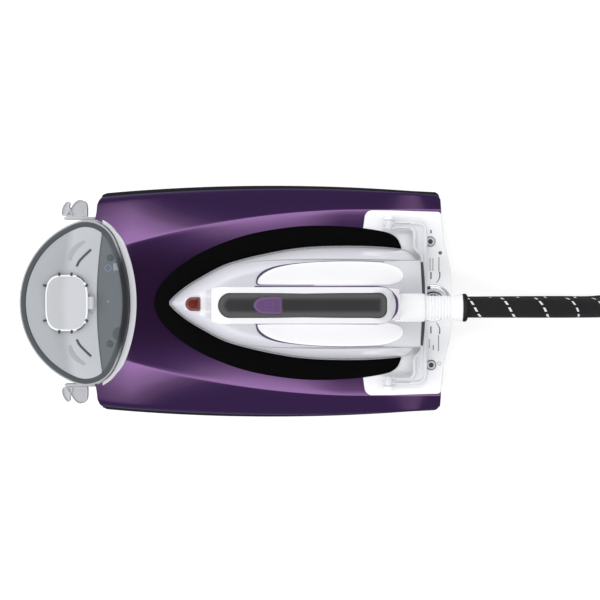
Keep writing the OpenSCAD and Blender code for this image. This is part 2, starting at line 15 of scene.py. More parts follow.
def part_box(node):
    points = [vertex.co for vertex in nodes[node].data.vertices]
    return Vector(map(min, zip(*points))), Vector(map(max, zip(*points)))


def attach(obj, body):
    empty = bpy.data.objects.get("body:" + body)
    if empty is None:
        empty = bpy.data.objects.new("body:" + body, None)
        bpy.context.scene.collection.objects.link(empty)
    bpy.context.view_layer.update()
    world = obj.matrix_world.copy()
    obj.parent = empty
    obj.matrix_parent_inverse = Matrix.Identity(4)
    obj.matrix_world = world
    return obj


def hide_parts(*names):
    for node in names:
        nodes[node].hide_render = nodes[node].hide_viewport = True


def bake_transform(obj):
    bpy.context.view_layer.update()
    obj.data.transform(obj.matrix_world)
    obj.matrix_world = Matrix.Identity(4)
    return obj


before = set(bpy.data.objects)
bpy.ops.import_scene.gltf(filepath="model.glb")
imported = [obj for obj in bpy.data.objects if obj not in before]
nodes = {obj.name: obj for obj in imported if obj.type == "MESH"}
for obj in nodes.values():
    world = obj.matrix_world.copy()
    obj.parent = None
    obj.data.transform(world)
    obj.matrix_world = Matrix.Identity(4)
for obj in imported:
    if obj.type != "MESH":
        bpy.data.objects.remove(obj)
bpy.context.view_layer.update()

# %% [markdown]
# The camera looks down from about two metres, with a long lens, so the object is seen almost in
# plan. It stands a little to the left of the middle and is turned back to it, and it is behind the
# middle of the base, because the hose runs out of the view on that side.

# %% Camera
CAMERA_PLACE = Vector((0.066, 0.04, 2.2))
CAMERA_AIM = Vector((0.066, 0.0014, 0.028))
LENS_MM = 121.7
camera_data = bpy.data.cameras.new("camera")
camera = bpy.data.objects.new("camera", camera_data)
bpy.context.scene.collection.objects.link(camera)
camera.location = CAMERA_PLACE
camera.rotation_euler = (math.atan2(CAMERA_AIM.y - CAMERA_PLACE.y,
                                    CAMERA_PLACE.z - CAMERA_AIM.z), 0, 0)
camera_data.sensor_width = 36
camera_data.lens = LENS_MM
camera_data.clip_end = 20
bpy.context.scene.camera = camera

# %% [markdown]
# A studio is a pale floor and soft light. The world is brightest at the middle heights and darker
# overhead and below, as a room with bright walls is. Flat glossy panels then keep their deep
# colour, and only sloping ones catch the bright walls as a soft streak. The dark bands lean to
# violet, which deepens the lacquer. The floor and the lamps aren't seen in reflections, so that
# the steep sides of the base stay dark.

# %% Floor, world and lamps
scene = bpy.context.scene
scene.view_settings.view_transform = "Standard"
scene.view_settings.look = "None"

floor_mesh = bpy.data.meshes.new("floor")
floor = bpy.data.objects.new("floor", floor_mesh)
scene.collection.objects.link(floor)
bm = bmesh.new()
bmesh.ops.create_grid(bm, x_segments=1, y_segments=1, size=30)
bm.to_mesh(floor_mesh)
bm.free()
floor.visible_glossy = False

world = bpy.data.worlds.new("studio")
scene.world = world
world.use_nodes = True
sky = world.node_tree
sky_place = sky.nodes.new("ShaderNodeTexCoord")
sky_split = sky.nodes.new("ShaderNodeSeparateXYZ")
sky_ramp = sky.nodes.new("ShaderNodeValToRGB")
sky.links.new(sky_place.outputs["Generated"], sky_split.inputs["Vector"])
sky.links.new(sky_split.outputs["Z"], sky_ramp.inputs["Fac"])
sky.links.new(sky_ramp.outputs["Color"], sky.nodes["Background"].inputs["Color"])
sky.nodes["Background"].inputs["Strength"].default_value = 1.3
BANDS = ((0.0, 0.085), (0.1, 0.11), (0.26, 0.24), (0.42, 0.66), (0.574, 1.0), (0.8, 1.0),
         (0.883, 0.9), (0.94, 0.36), (0.974, 0.1), (0.995, 0.0))
DARK_BAND = 0.15
VIOLET = (0.82, 0.74, 1.3)
sky_ramp.color_ramp.interpolation = "EASE"
while len(sky_ramp.color_ramp.elements) < len(BANDS):
    sky_ramp.color_ramp.elements.new(0.5)
for stop, (height, light) in zip(sky_ramp.color_ramp.elements, BANDS):
    tint = VIOLET if light < DARK_BAND else (1, 1, 1)
    stop.position = height
    stop.color = (*[light * part for part in tint], 1)


def soft_box(name, place, aim, size, power):
    """A rectangular lamp at a place, turned to face a point."""
    data = bpy.data.lights.new(name, "AREA")
    data.shape = "RECTANGLE"
    data.size, data.size_y = size
    data.energy = power
    lamp = bpy.data.objects.new(name, data)
    scene.collection.objects.link(lamp)
    lamp.location = place
    lamp.rotation_euler = (Vector(aim) - Vector(place)).to_track_quat("-Z", "Y").to_euler()
    lamp.visible_glossy = False


for name, side in (("left", 1), ("right", -1)):
    soft_box(name + "_high_box", (0.1, 0.85 * side, 1.7), (0, 0, 0.1), (0.5, 0.35), 3.6)
    soft_box(name + "_low_box", (-0.9, 1.2 * side, 0.55), (0, 0, 0.1), (1.2, 0.6), 5)
soft_box("front_box", (-1.4, 0, 0.9), (0, 0, 0.15), (0.8, 0.6), 4)

# %% [markdown]
# Every finish starts from the same shader. The helper below makes it and sets its plain values
# straight on the sockets. The small helpers after it make a noise on object coordinates and a ramp
# between two colours, and add what a moulded surface has: a faint unevenness of colour and a fine
# grain.

# %% Helpers for materials
GRAIN_DEPTH = 0.0002


def shader(name, colour, roughness, **more):
    """A material with one principled shader. Values are set on its own sockets."""
    material = bpy.data.materials.new(name)
    material.use_nodes = True
    main = material.node_tree.nodes["Principled BSDF"]
    main.inputs["Base Color"].default_value = (*colour, 1)
    main.inputs["Roughness"].default_value = roughness
    for key, value in more.items():
        main.inputs[key.replace("_", " ")].default_value = value
    return material, material.node_tree, main


def noise(tree, scale, detail=2, stretch=None):
    """Fine noise on object coordinates, stretched along an axis if asked."""
    place = tree.nodes.new("ShaderNodeTexCoord").outputs["Object"]
    if stretch:
        mapping = tree.nodes.new("ShaderNodeMapping")
        mapping.inputs["Scale"].default_value = stretch
        tree.links.new(place, mapping.inputs["Vector"])
        place = mapping.outputs["Vector"]
    node = tree.nodes.new("ShaderNodeTexNoise")
    node.inputs["Scale"].default_value = scale
    node.inputs["Detail"].default_value = detail
    tree.links.new(place, node.inputs["Vector"])
    return node.outputs["Fac"]


def tones(tree, main, share, low, high, start=0.0, end=1.0):
    """Lets the base colour run from one tone to another as a share grows."""
    ramp = tree.nodes.new("ShaderNodeValToRGB")
    for stop, tone, place in zip(ramp.color_ramp.elements, (low, high), (start, end)):
        stop.color = (*tone, 1)
        stop.position = place
    tree.links.new(share, ramp.inputs["Fac"])
    tree.links.new(ramp.outputs["Color"], main.inputs["Base Color"])


def mottle(tree, main, colour, scale, amount):
    """Lets the colour drift a little."""
    low = [max(0.0, c * (1 - amount)) for c in colour]
    high = [min(1.0, c * (1 + amount)) for c in colour]
    tones(tree, main, noise(tree, scale, 3), low, high, 0.3, 0.7)


def bumps(tree, main, height, strength, distance):
    """Raises the surface where a height is more."""
    bump = tree.nodes.new("ShaderNodeBump")
    bump.inputs["Strength"].default_value = strength
    bump.inputs["Distance"].default_value = distance
    tree.links.new(height, bump.inputs["Height"])
    tree.links.new(bump.outputs["Normal"], main.inputs["Normal"])


def plastic(name, colour, roughness, amount=0.04, fine=900, strength=0.15, **more):
    """Moulded plastic: a slightly uneven colour and a fine grain."""
    material, tree, main = shader(name, colour, roughness, **more)
    mottle(tree, main, colour, 14, amount)
    bumps(tree, main, noise(tree, fine), strength, GRAIN_DEPTH)
    return material


def calc(tree, operation, *values):
    """A math node. Plain numbers go on its sockets, and sockets are linked."""
    node = tree.nodes.new("ShaderNodeMath")
    node.operation = operation
    for socket, value in zip(node.inputs, values):
        if isinstance(value, (int, float)):
            socket.default_value = value
        else:
            tree.links.new(value, socket)
    return node.outputs[0]


FLOOR_GREY = (0.6, 0.6, 0.6)
floor_material, floor_tree, floor_main = shader("pale_floor", FLOOR_GREY, 0.9,
                                                Emission_Strength=0.62,
                                                Emission_Color=(1, 1, 1, 1))
mottle(floor_tree, floor_main, FLOOR_GREY, 2, 0.01)
floor_mesh.materials.append(floor_material)

# %% [markdown]
# A few helpers do most of the modelling. An outline becomes a face and is extruded to a plate. A
# grid is bent to a formula, which gives the double curved panels. Round pieces are turned on a
# lathe: half of the section is drawn and spun round an axis. Lines and tubes are circles swept
# along a path, and the exact boolean cuts clean holes. A finished mesh is turned the right way out,
# smoothed and put on its body. All sizes from here on are millimetres, and the helper that finishes
# a piece scales them.

# %% Helpers for shapes
MM = 0.001


def arc(x, y, radius, start, end, steps):
    """Points along an arc, from one angle to another, in degrees."""
    turns = [math.radians(start + (end - start) * i / steps) for i in range(steps + 1)]
    return [(x + radius * math.cos(t), y + radius * math.sin(t)) for t in turns]


def mirrored(points):
    """A left side outline and its mirror image, as one closed outline."""
    return list(points) + [(x, -y) for x, y in reversed(points)]


def thickened(bm, faces, way):
    """Extrudes faces along a vector. Returns one of the new faces."""
    made = bmesh.ops.extrude_face_region(bm, geom=faces)["geom"]
    moved = [v for v in made if isinstance(v, bmesh.types.BMVert)]
    bmesh.ops.translate(bm, vec=way, verts=moved)
    return next(f for f in made if isinstance(f, bmesh.types.BMFace))


def slab(bm, corners, way):
    """A flat face with its corners at given points, extruded along a vector."""
    return thickened(bm, [bm.faces.new([bm.verts.new(corner) for corner in corners])], way)


def plate(bm, points, low, high):
    """A flat outline extruded from one height to another. Returns the top face."""
    return slab(bm, [(x, y, low) for x, y in points], (0, 0, high - low))


def block(bm, middle, size, turn=0):
    """A box with its middle at a point, turned about the vertical by some radians."""
    bmesh.ops.create_cube(bm, size=1, matrix=Matrix.Translation(middle) @ Matrix.Rotation(
        turn, 4, "Z") @ Matrix.Diagonal((*size, 1)))


def sharp_edges(bm, angle=30):
    """The edges where two faces meet at more than an angle."""
    return [e for e in bm.edges if e.is_manifold and e.calc_face_angle(0) > math.radians(angle)]


def round_off(bm, edges, width, segments=3):
    """Rounds edges."""
    bmesh.ops.bevel(bm, geom=edges, offset=width, offset_type="OFFSET", segments=segments,
                    affect="EDGES", profile=0.5, material=-1, clamp_overlap=True)


def bent_grid(bm, steps_u, steps_v, place):
    """A grid whose points go where a function of two shares, 0 to 1, puts them."""
    grid = bmesh.ops.create_grid(bm, x_segments=steps_u, y_segments=steps_v, size=0.5)
    for v in grid["verts"]:
        v.co = Vector(place(v.co.x + 0.5, v.co.y + 0.5))


def carry_on(bm, ring, edges):
    """Extrudes a closed ring. Returns the new ring in the same order, and its edges."""
    made = bmesh.ops.extrude_edge_only(bm, edges=edges)["geom"]
    fresh = {v for v in made if isinstance(v, bmesh.types.BMVert)}
    ahead = [next(e.other_vert(v) for e in v.link_edges if e.other_vert(v) in fresh)
             for v in ring]
    return ahead, [e for e in made if isinstance(e, bmesh.types.BMEdge)
                   and e.verts[0] in fresh and e.verts[1] in fresh]


def loft(bm, outlines, caps=True):
    """Carries a closed outline through others of equal length, each given with its height. With no
    caps, the last ring is joined to the first, which gives a closed band."""
    points, z = outlines[0]
    ring = first = [bm.verts.new((x, y, z)) for x, y in points]
    edges = [bm.edges.new(pair) for pair in zip(ring, ring[1:] + ring[:1])]
    for points, z in outlines[1:]:
        ring, edges = carry_on(bm, ring, edges)
        for v, (x, y) in zip(ring, points):
            v.co = (x, y, z)
    if caps:
        bm.faces.new(first)
        bm.faces.new(ring)
    else:
        bmesh.ops.bridge_loops(bm, edges=[e for e in bm.edges if e.is_boundary])


def smooth_line(points, steps):
    """A line through all points, rounded between them."""
    ends = [2 * points[0] - points[1], *points, 2 * points[-1] - points[-2]]
    line = []
    for a, b, c, d in zip(ends, ends[1:], ends[2:], ends[3:]):
        for i in range(steps):
            t = i / steps
            line.append(0.5 * (2 * b + (c - a) * t + (2 * a - 5 * b + 4 * c - d) * t * t
                               + (3 * b - 3 * c + d - a) * t ** 3))
    return line + [points[-1]]


def flowing(points, steps=4):
    """A smooth outline through points."""
    return [(p.x, p.y) for p in smooth_line([Vector((*p, 0)) for p in points], steps)]


def swept(bm, line, size, sides, up=Vector((0, 1, 0))):
    """A circle carried along a line. size is a radius, or gives one for a share of the way."""
    rings, before = [], None
    for i, point in enumerate(line):
        ahead = (line[min(i + 1, len(line) - 1)] - line[max(i - 1, 0)]).normalized()
        up = (up - ahead * up.dot(ahead)).normalized()
        turn = Matrix((up.cross(ahead), up, ahead)).transposed().to_4x4()
        radius = size(i / (len(line) - 1)) if callable(size) else size
        place = Matrix.Translation(point) @ turn @ Matrix.Scale(radius, 4)
        if before is None:
            ring = bmesh.ops.create_circle(bm, segments=sides, radius=1, matrix=place)["verts"]
            edges = [e for e in bm.edges if e.verts[0] in ring]
        else:
            ring, edges = carry_on(bm, ring, edges)
            bmesh.ops.transform(bm, matrix=place @ before.inverted(), verts=ring)
        before = place
        rings.append(ring)
    bm.faces.new(rings[0])
    bm.faces.new(rings[-1])
    return rings


def bead(bm, points, z, size, steps=5, sides=8):
    """A round bead swept along a smooth flat line at one height."""
    swept(bm, smooth_line([Vector((*point, z)) for point in points], steps), size, sides,
          Vector((0, 0, 1)))


def beads(bm, points, z, size, steps=5, sides=8):
    """The same bead on the left side and on the right side."""
    for side in (1, -1):
        bead(bm, [(x, side * y) for x, y in points], z, size, steps, sides)


def carve(bm, cutter):
    """Cuts one closed shape out of another."""
    pair = []
    for source in (bm, cutter):
        bmesh.ops.remove_doubles(source, verts=source.verts, dist=0.001)
        bmesh.ops.recalc_face_normals(source, faces=source.faces)
        mesh = bpy.data.meshes.new("rough")
        source.to_mesh(mesh)
        source.free()
        pair.append(bpy.data.objects.new("rough", mesh))
        scene.collection.objects.link(pair[-1])
    cut = pair[0].modifiers.new("cut", "BOOLEAN")
    cut.operation = "DIFFERENCE"
    cut.solver = "EXACT"
    cut.object = pair[1]
    result = bmesh.new()
    result.from_object(pair[0], bpy.context.evaluated_depsgraph_get())
    for rough in pair:
        bpy.data.meshes.remove(rough.data)
    return result


def lathe(bm, profile, centre, axis=(0, 0, 1), steps=48):
    """Spins (distance along the axis, radius) points round an axis through a centre."""
    centre, axis = Vector(centre), Vector(axis)
    out = Vector((0, 0, 1)) if abs(axis.z) < 0.5 else Vector((1, 0, 0))
    verts = [bm.verts.new(centre + axis * along + out * radius) for along, radius in profile]
    edges = [bm.edges.new(pair) for pair in zip(verts, verts[1:])]
    bmesh.ops.spin(bm, geom=verts + edges, cent=centre, axis=axis, angle=math.tau, steps=steps,
                   use_merge=True)
    bmesh.ops.remove_doubles(bm, verts=bm.verts, dist=0.001)


def smoothstep(a, b, x):
    """0 before a, 1 after b, and a smooth step between."""
    t = min(1.0, max(0.0, (x - a) / (b - a)))
    return t * t * (3 - 2 * t)


def mix(a, b, share):
    """A value a share of the way from one to another."""
    return a + (b - a) * share


def make(name, bm, body, finish, hides=(), slot=None, sharp=35):
    """Turns a bmesh in millimetres into a piece that rides on a body."""
    bmesh.ops.remove_doubles(bm, verts=bm.verts, dist=0.002)
    bmesh.ops.recalc_face_normals(bm, faces=bm.faces)
    bmesh.ops.scale(bm, vec=(MM, MM, MM), verts=bm.verts)
    mesh = bpy.data.meshes.new(name)
    bm.to_mesh(mesh)
    bm.free()
    mesh.materials.append(finish)
    mesh.shade_smooth()
    mesh.set_sharp_from_angle(angle=math.radians(sharp))
    piece = bpy.data.objects.new(name, mesh)
    scene.collection.objects.link(piece)
    if body:
        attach(piece, body)
    if hides:
        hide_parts(*hides)
    print(name, len(mesh.polygons), "faces")
    return piece


def lofted(name, body, finish, plan, levels, hides=(), slot=None, sharp=35, caps=True):
    """A piece lofted through one plan. Each level gives the plan's values and then a height."""
    bm = bmesh.new()
    loft(bm, [(plan(*level[:-1]), level[-1]) for level in levels], caps)
    return make(name, bm, body, finish, hides, slot, sharp)


def turned(name, body, finish, profile, centre, axis=(0, 0, 1), steps=48, **more):
    """A piece turned on the lathe from one profile."""
    bm = bmesh.new()
    lathe(bm, profile, centre, axis, steps)
    return make(name, bm, body, finish, **more)


def box_mm(node):
    """A node's lowest and highest corners in millimetres."""
    low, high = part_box(node)
    return Vector(low) / MM, Vector(high) / MM


def middle_of(node):
    """The middle of a node seen from above, at height 0."""
    low, high = box_mm(node)
    return (low.x + high.x) / 2, (low.y + high.y) / 2, 0


# %% [markdown]
# The steam hose is 20 mm thick and about 1.9 m long. It leaves the boot on the iron, arches down
# to the table, makes a turn and a half there, and comes back to the gland in the base. A real
# hose is a rubber tube in a black braid with one white tracer yarn. A curve with a bevel would
# give the shape, but a swept mesh also gives a clean map along the hose, and the braid needs it.

# %% The route of the hose
HOSE_R = 10
run_route = [(232, -3.3, 190), (262, -3.3, 190), (292, -3.4, 188), (322, -3.6, 181),
             (350, -3.9, 166), (374, -4.2, 144), (394, -4.5, 117), (412, -5, 88), (430, -6, 60),
             (450, -8, 37), (474, -15, 20), (502, -29, 12), (530, -50, 10), (560, -74, 10),
             (590, -91, 10), (618, -99, 10), (640, -100, 10)]
return_route = [(640, 100, 40), (610, 98, 37), (580, 91, 30), (550, 79, 22), (520, 63, 15),
                (490, 44, 11), (460, 25, 10), (430, 9, 10), (405, -1, 10), (380, -4.5, 10),
                (350, -4.5, 10), (330, -4.5, 12), (310, -4.5, 18), (288, -4.5, 28),
                (266, -4.5, 38), (248, -4.5, 44), (232, -4.5, 46), (220, -4.5, 46)]
COIL_X = 640
COIL_R = 100
COIL_TURNS = 1.5
COIL_STEPS = 54
COIL_RISE = 30


def coil_point(share):
    """A point of the turn and a half on the table, which rises as it goes."""
    turn = math.radians(-90 + 360 * COIL_TURNS * share)
    return (COIL_X + COIL_R * math.cos(turn), COIL_R * math.sin(turn),
            HOSE_R + COIL_RISE * share)


route = ([Vector(p) for p in run_route]
         + [Vector(coil_point(i / COIL_STEPS)) for i in range(1, COIL_STEPS)]
         + [Vector(p) for p in return_route])
hose_line = smooth_line(route, 6)
hose_length = sum((b - a).length for a, b in zip(hose_line, hose_line[1:]))
print("hose length", round(hose_length), "mm")

# %% The hose as a swept tube
HOSE_SIDES = 24


def map_along(bm, rings, line):
    """A map for a swept tube: round it, and along it in metres."""
    uv = bm.loops.layers.uv.new("map")
    station, run = {}, 0.0
    for i, ring in enumerate(rings):
        run += (line[i] - line[i - 1]).length * MM if i else 0.0
        for k, v in enumerate(ring):
            station[v] = (k / len(ring), run)
    for face in bm.faces:
        wraps = max(station[v][0] for v in face.verts) > 1 - 1.5 / len(rings[0])
        for loop in face.loops:
            around, along = station[loop.vert]
            loop[uv].uv = (around + (1 if wraps and around == 0 else 0), along)


# %% [markdown]
# The braid has two families of yarns that wind round the hose in opposite ways. On the hose's own
# map they are two sets of slanted stripes, and a checker of the two says which one is on top. The
# tracer is one white yarn, which shows as a dash each time it comes up between the black ones.

# %% Finish of the hose
YARNS = 30
YARN_TURN = 0.05
TRACER_PITCH = 0.0335
TRACER_START = 0.45
TRACER_HALF = 0.034
TRACER_DASHES = 9
DASH_HALF = 0.3


def hose_braid():
    """Black braid with a white tracer, on the hose's own map."""
    material, tree, main = shader("hose_braid", (0.02, 0.02, 0.021), 0.62, Sheen_Weight=0.06,
                                  Specular_IOR_Level=0.24)
    where = tree.nodes.new("ShaderNodeUVMap")
    where.uv_map = "map"
    split = tree.nodes.new("ShaderNodeSeparateXYZ")
    tree.links.new(where.outputs["UV"], split.inputs["Vector"])
    around, along = split.outputs["X"], split.outputs["Y"]
    turns = calc(tree, "MULTIPLY", around, YARNS)
    steps = calc(tree, "MULTIPLY", along, YARNS / YARN_TURN)
    right, left = calc(tree, "ADD", turns, steps), calc(tree, "SUBTRACT", turns, steps)
    over = calc(tree, "PINGPONG", calc(tree, "ADD", calc(tree, "FLOOR", right),
                                       calc(tree, "FLOOR", left)), 1)
    ridges = [calc(tree, "SINE", calc(tree, "MULTIPLY", calc(tree, "FRACT", s), math.pi))
              for s in (right, left)]
    weave = calc(tree, "ADD", calc(tree, "MULTIPLY", over, ridges[0]),
                 calc(tree, "MULTIPLY", calc(tree, "SUBTRACT", 1, over), ridges[1]))
    bumps(tree, main, weave, 0.7, 0.0004)
    lane = calc(tree, "FRACT", calc(tree, "ADD", calc(tree, "SUBTRACT", around, calc(
        tree, "DIVIDE", along, TRACER_PITCH)), TRACER_START))
    on_lane = calc(tree, "LESS_THAN", calc(tree, "ABSOLUTE", calc(
        tree, "SUBTRACT", lane, 0.5)), TRACER_HALF)
    dash = calc(tree, "FRACT", calc(tree, "MULTIPLY", around, TRACER_DASHES))
    on_dash = calc(tree, "LESS_THAN", calc(tree, "ABSOLUTE", calc(
        tree, "SUBTRACT", dash, 0.5)), DASH_HALF)
    tracer = calc(tree, "MULTIPLY", on_lane, on_dash)
    tone = tree.nodes.new("ShaderNodeMix")
    tone.data_type = "RGBA"
    # The braid is painted darker in the gaps between its yarns and lighter on their crowns: painted
    # shade in the gaps.
    dark = tree.nodes.new("ShaderNodeMix")
    dark.data_type = "RGBA"
    dark.inputs["A"].default_value = (0.004, 0.004, 0.0043, 1)
    dark.inputs["B"].default_value = (0.012, 0.012, 0.0128, 1)
    tree.links.new(weave, dark.inputs["Factor"])
    tree.links.new(tracer, tone.inputs["Factor"])
    tree.links.new(dark.outputs["Result"], tone.inputs["A"])
    tone.inputs["B"].default_value = (0.8, 0.8, 0.8, 1)
    tree.links.new(tone.outputs["Result"], main.inputs["Base Color"])
    return material


# %% [markdown]
# One end of the hose is in the base and the other is on the iron. The mesh rides on neither body
# and keeps the place it is laid in.

# %% The hose as a piece
bm = bmesh.new()
rings = swept(bm, hose_line, HOSE_R, HOSE_SIDES)
map_along(bm, rings, hose_line)
hose = make("steam_hose", bm, None, hose_braid(), sharp=60)
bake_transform(hose)
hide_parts("hose_run", "hose_coil", "hose_return")

# %% [markdown]
# The finishes of the base come next. The plum lacquer is nearly all metal flakes under a clear
# coat, so that its streaks of light look lilac. The other plastics are matt black, white and light
# grey, and the trims are metal.

# %% Finishes of the base


def lacquer():
    """Plum metallic lacquer: fine flakes under a clear coat."""
    material, tree, main = shader("plum_lacquer", (0.19, 0.075, 0.29), 0.18, Metallic=0.96,
                                  Coat_Weight=1.0, Coat_Roughness=0.1, Coat_IOR=1.6)
    tones(tree, main, noise(tree, 2500), (0.188, 0.074, 0.25), (0.228, 0.09, 0.303))
    return material


plum = lacquer()
skirt_black = plastic("skirt_black", (0.012, 0.009, 0.014), 0.5, Specular_IOR_Level=0.2)
pad_black = plastic("pad_black", (0.0025, 0.0023, 0.0025), 0.6, strength=0.25,
                    Specular_IOR_Level=0.03)
collar_black = plastic("collar_black", (0.008, 0.008, 0.008), 0.5, Specular_IOR_Level=0.4)
white_gloss = plastic("white_gloss", (0.93, 0.935, 0.95), 0.25, 0.01, 1200, 0.04, Coat_Weight=0.4)
light_grey = plastic("light_grey", (0.62, 0.63, 0.66), 0.35, 0.02)
dark_grey = plastic("dark_grey", (0.05, 0.052, 0.055), 0.4)
silver = plastic("silver_trim", (0.7, 0.71, 0.74), 0.28, 0.02, 1500, 0.05, Metallic=0.85)
chrome = plastic("chrome", (0.85, 0.85, 0.87), 0.08, 0.01, 1500, 0.02, Metallic=1.0)
mark_grey = plastic("mark_grey", (0.12, 0.12, 0.13), 0.6)
lilac_trim = plastic("lilac_trim", (0.075, 0.034, 0.12), 0.4, Coat_Weight=0.15)

# %% [markdown]
# The shell is one surface: a deck that is slightly crowned, a crease on each side, and a side panel
# that slopes down outside the crease and then turns down as an upright wall. A light hollow runs
# into each side panel near the rear. A grid is bent to that form. One way along the grid is the
# length of the base, and the other runs over it from the left foot to the right foot. The front
# edge of the grid follows the bay that the tank stands in, and is pulled down as the bay's wall.
# Under the control deck the shell steps down, out of its way.

# %% Plans that the pieces of the base share
BODY_HALF = 123.8
BOW_R = 1980
BOW_MID = 36
CREASE_HALF = 95.8
CREASE_REAR = 130
CREASE_RUN = 228
CREASE_TAPER = 31.4
TANK_MID = -133.6
TANK_REAR_MID = -261.6
REAR_R = 152
TIP = (-153.8, 52.66)
TIP_R = 32
TIP_FRONT, TIP_REAR = 111.0, 26.04
FRONT_R = 88.4
SHELL_REAR = box_mm("top_shell")[1].x + 2.6
REAR_LEAN = 2.8
CORNER_R = 4
BAY_GAP = 6.6


def side_y(x, inset=0):
    """How far the side of the base stands out: a long bow with a small round at the rear."""
    bow = BODY_HALF - inset - BOW_R + math.sqrt(BOW_R ** 2 - (x - BOW_MID) ** 2)
    corner = max(0.0, x - (SHELL_REAR - CORNER_R))
    return bow - CORNER_R + math.sqrt(max(0.0, CORNER_R ** 2 - corner ** 2))


def crease_y(x):
    """How far the crease is from the middle: it draws in towards the front."""
    ahead = (CREASE_REAR - min(x, CREASE_REAR)) / CREASE_RUN
    return CREASE_HALF - CREASE_TAPER * ahead ** 2


def bay_x(y):
    """Where the front edge of the shell lies, at a distance from the middle."""
    y = abs(y)
    gap = BAY_GAP - 5.2 * smoothstep(60, 88, y)
    radius = REAR_R + gap
    if y < radius * math.sin(math.radians(TIP_REAR)):
        return TANK_REAR_MID + math.sqrt(radius ** 2 - y ** 2)
    corner = -147.5 + smoothstep(84, 98, y) + 5 * smoothstep(100, 116, y)
    left = (TIP_R + gap) ** 2 - (y - TIP[1]) ** 2
    return max(corner, TIP[0] + math.sqrt(left)) if left > 0 else corner


def tank_plan(inset):
    """The tank's outline, a distance inside its wall."""
    x, y = TIP
    return (arc(TANK_REAR_MID, 0, REAR_R - inset, -TIP_REAR, TIP_REAR, 30)
            + arc(x, y, TIP_R - inset, TIP_REAR + 4, TIP_FRONT - 4, 12)
            + arc(TANK_MID, 0, FRONT_R - inset, TIP_FRONT, 360 - TIP_FRONT, 56)
            + arc(x, -y, TIP_R - inset, 364 - TIP_FRONT, 356 - TIP_REAR, 12))


# %% The plum shell
SHELL_FOOT = 28
SHELL_TOP = 109.6
NOSE_START = -110
NOSE_RUN = 43
NOSE_DROP = 7
UNDER_DECK_X, UNDER_DECK_Y, UNDER_DECK_Z = 150, 82, 96
CROWN = 7.2
CREASE_SHARE = 0.45
WALL_POWER = 40


def crown_at(x, share):
    """How far the deck falls at a share of the way from its middle to the crease."""
    depth = CROWN * mix(0.24, 1, smoothstep(-125, 35, x)) - 2.6 * smoothstep(55, 115, x)
    depth -= 2 * smoothstep(125, 170, x)
    return depth * share ** mix(2.4, 3.1, smoothstep(-75, 0, x))


def side_slopes(x):
    """How steeply a side panel falls, just outside the crease and at its outer edge."""
    hollow = smoothstep(140, 184, x) * (1 - smoothstep(187, 203, x))
    near = mix(0.42, 0.92, smoothstep(-125, 20, x)) - 0.2 * hollow
    far = mix(0.64, 1.12, smoothstep(-148, -38, x)) - 0.4 * hollow
    return near, far


def shell_point(along, across):
    """A point of the shell: along is 0 at the bay and 1 at the rear, across runs side to side."""
    side = 1 if across > 0.5 else -1
    out = abs(across - 0.5) * 2
    x = -120.0
    for _ in range(14):
        crease = crease_y(x)
        top = SHELL_TOP - NOSE_DROP * max(0.0, (NOSE_START - x) / NOSE_RUN) ** 1.5
        foot = side_y(x, 3.6)
        if out < CREASE_SHARE:
            share = out / CREASE_SHARE
            y = crease * share
            z = top - crown_at(x, share)
            if x > UNDER_DECK_X and y < UNDER_DECK_Y:
                z = UNDER_DECK_Z
        else:
            share = math.sin(math.pi / 2 * (out - CREASE_SHARE) / (1 - CREASE_SHARE))
            y = mix(crease, foot, share)
            near, far = side_slopes(x)
            z = top - crown_at(x, 1)
            wall = z - SHELL_FOOT - (foot - crease) * (near + far) / 2
            z -= (foot - crease) * (near * share + (far - near) / 2 * share ** 2)
            z -= wall * share ** WALL_POWER
        x = mix(x, mix(bay_x(y), SHELL_REAR, along), 0.5)
    return x, side * y, z


bm = bmesh.new()
bent_grid(bm, 96, 80, shell_point)
edges = [e for e in bm.edges if e.is_boundary]
walls = bmesh.ops.extrude_edge_only(bm, edges=edges)["geom"]
for v in walls:
    if isinstance(v, bmesh.types.BMVert):
        v.co.z = SHELL_FOOT
        if v.co.x > SHELL_REAR - 0.5:
            v.co.x += REAR_LEAN
bmesh.ops.remove_doubles(bm, verts=bm.verts, dist=0.01)
bmesh.ops.holes_fill(bm, edges=[e for e in bm.edges if e.is_boundary])
crease = [e for e in sharp_edges(bm, 8) if e.verts[0].co.z > 70
          and all(abs(abs(v.co.y) - crease_y(v.co.x)) < 0.4 for v in e.verts)]
round_off(bm, crease, 0.7, 3)
print("crease edges", len(crease))
make("plum_shell", bm, "station", plum, ["top_shell"], "purple_shell", sharp=22)

# %% [markdown]
# The skirt is a flat tray, 20 mm high, that stands out below the shell. Its outline is drawn once,
# extruded, and its edges are rounded. The tongue under the tank is a second, thinner plate.

# %% The dark skirt
SKIRT_FRONT = -148.6
SKIRT_REAR = SHELL_REAR + REAR_LEAN + 0.8
SKIRT_ROUND = 6
skirt_foot = box_mm("base_tray")[0].z
skirt_side = [(SKIRT_FRONT, 90), (SKIRT_FRONT, 104), (SKIRT_FRONT + 1.2, 109.5),
              (SKIRT_FRONT + 3.4, 114), (SKIRT_FRONT + 8, side_y(SKIRT_FRONT + 8))]
skirt_side += [(x, side_y(x)) for x in range(-130, 200, 15)]
skirt_side += arc(SKIRT_REAR - SKIRT_ROUND, side_y(200) - SKIRT_ROUND, SKIRT_ROUND, 85, 0, 8)
bay = [(bay_x(y), y) for y in range(-84, 85, 6)]
bm = bmesh.new()
plate(bm, mirrored(skirt_side) + bay, skirt_foot, SHELL_FOOT)
round_off(bm, sharp_edges(bm, 50), 1.6)
tongue = bmesh.new()
plate(tongue, tank_plan(-6), skirt_foot, skirt_foot + 3)
round_off(tongue, sharp_edges(tongue, 50), 0.8, 2)
make("tank_tongue", tongue, "station", skirt_black, slot="dark_skirt")
make("dark_skirt", bm, "station", skirt_black, ["base_tray"], "dark_skirt")

# %% [markdown]
# The rest pad is black and has a raised rim that keeps the iron from sliding off.

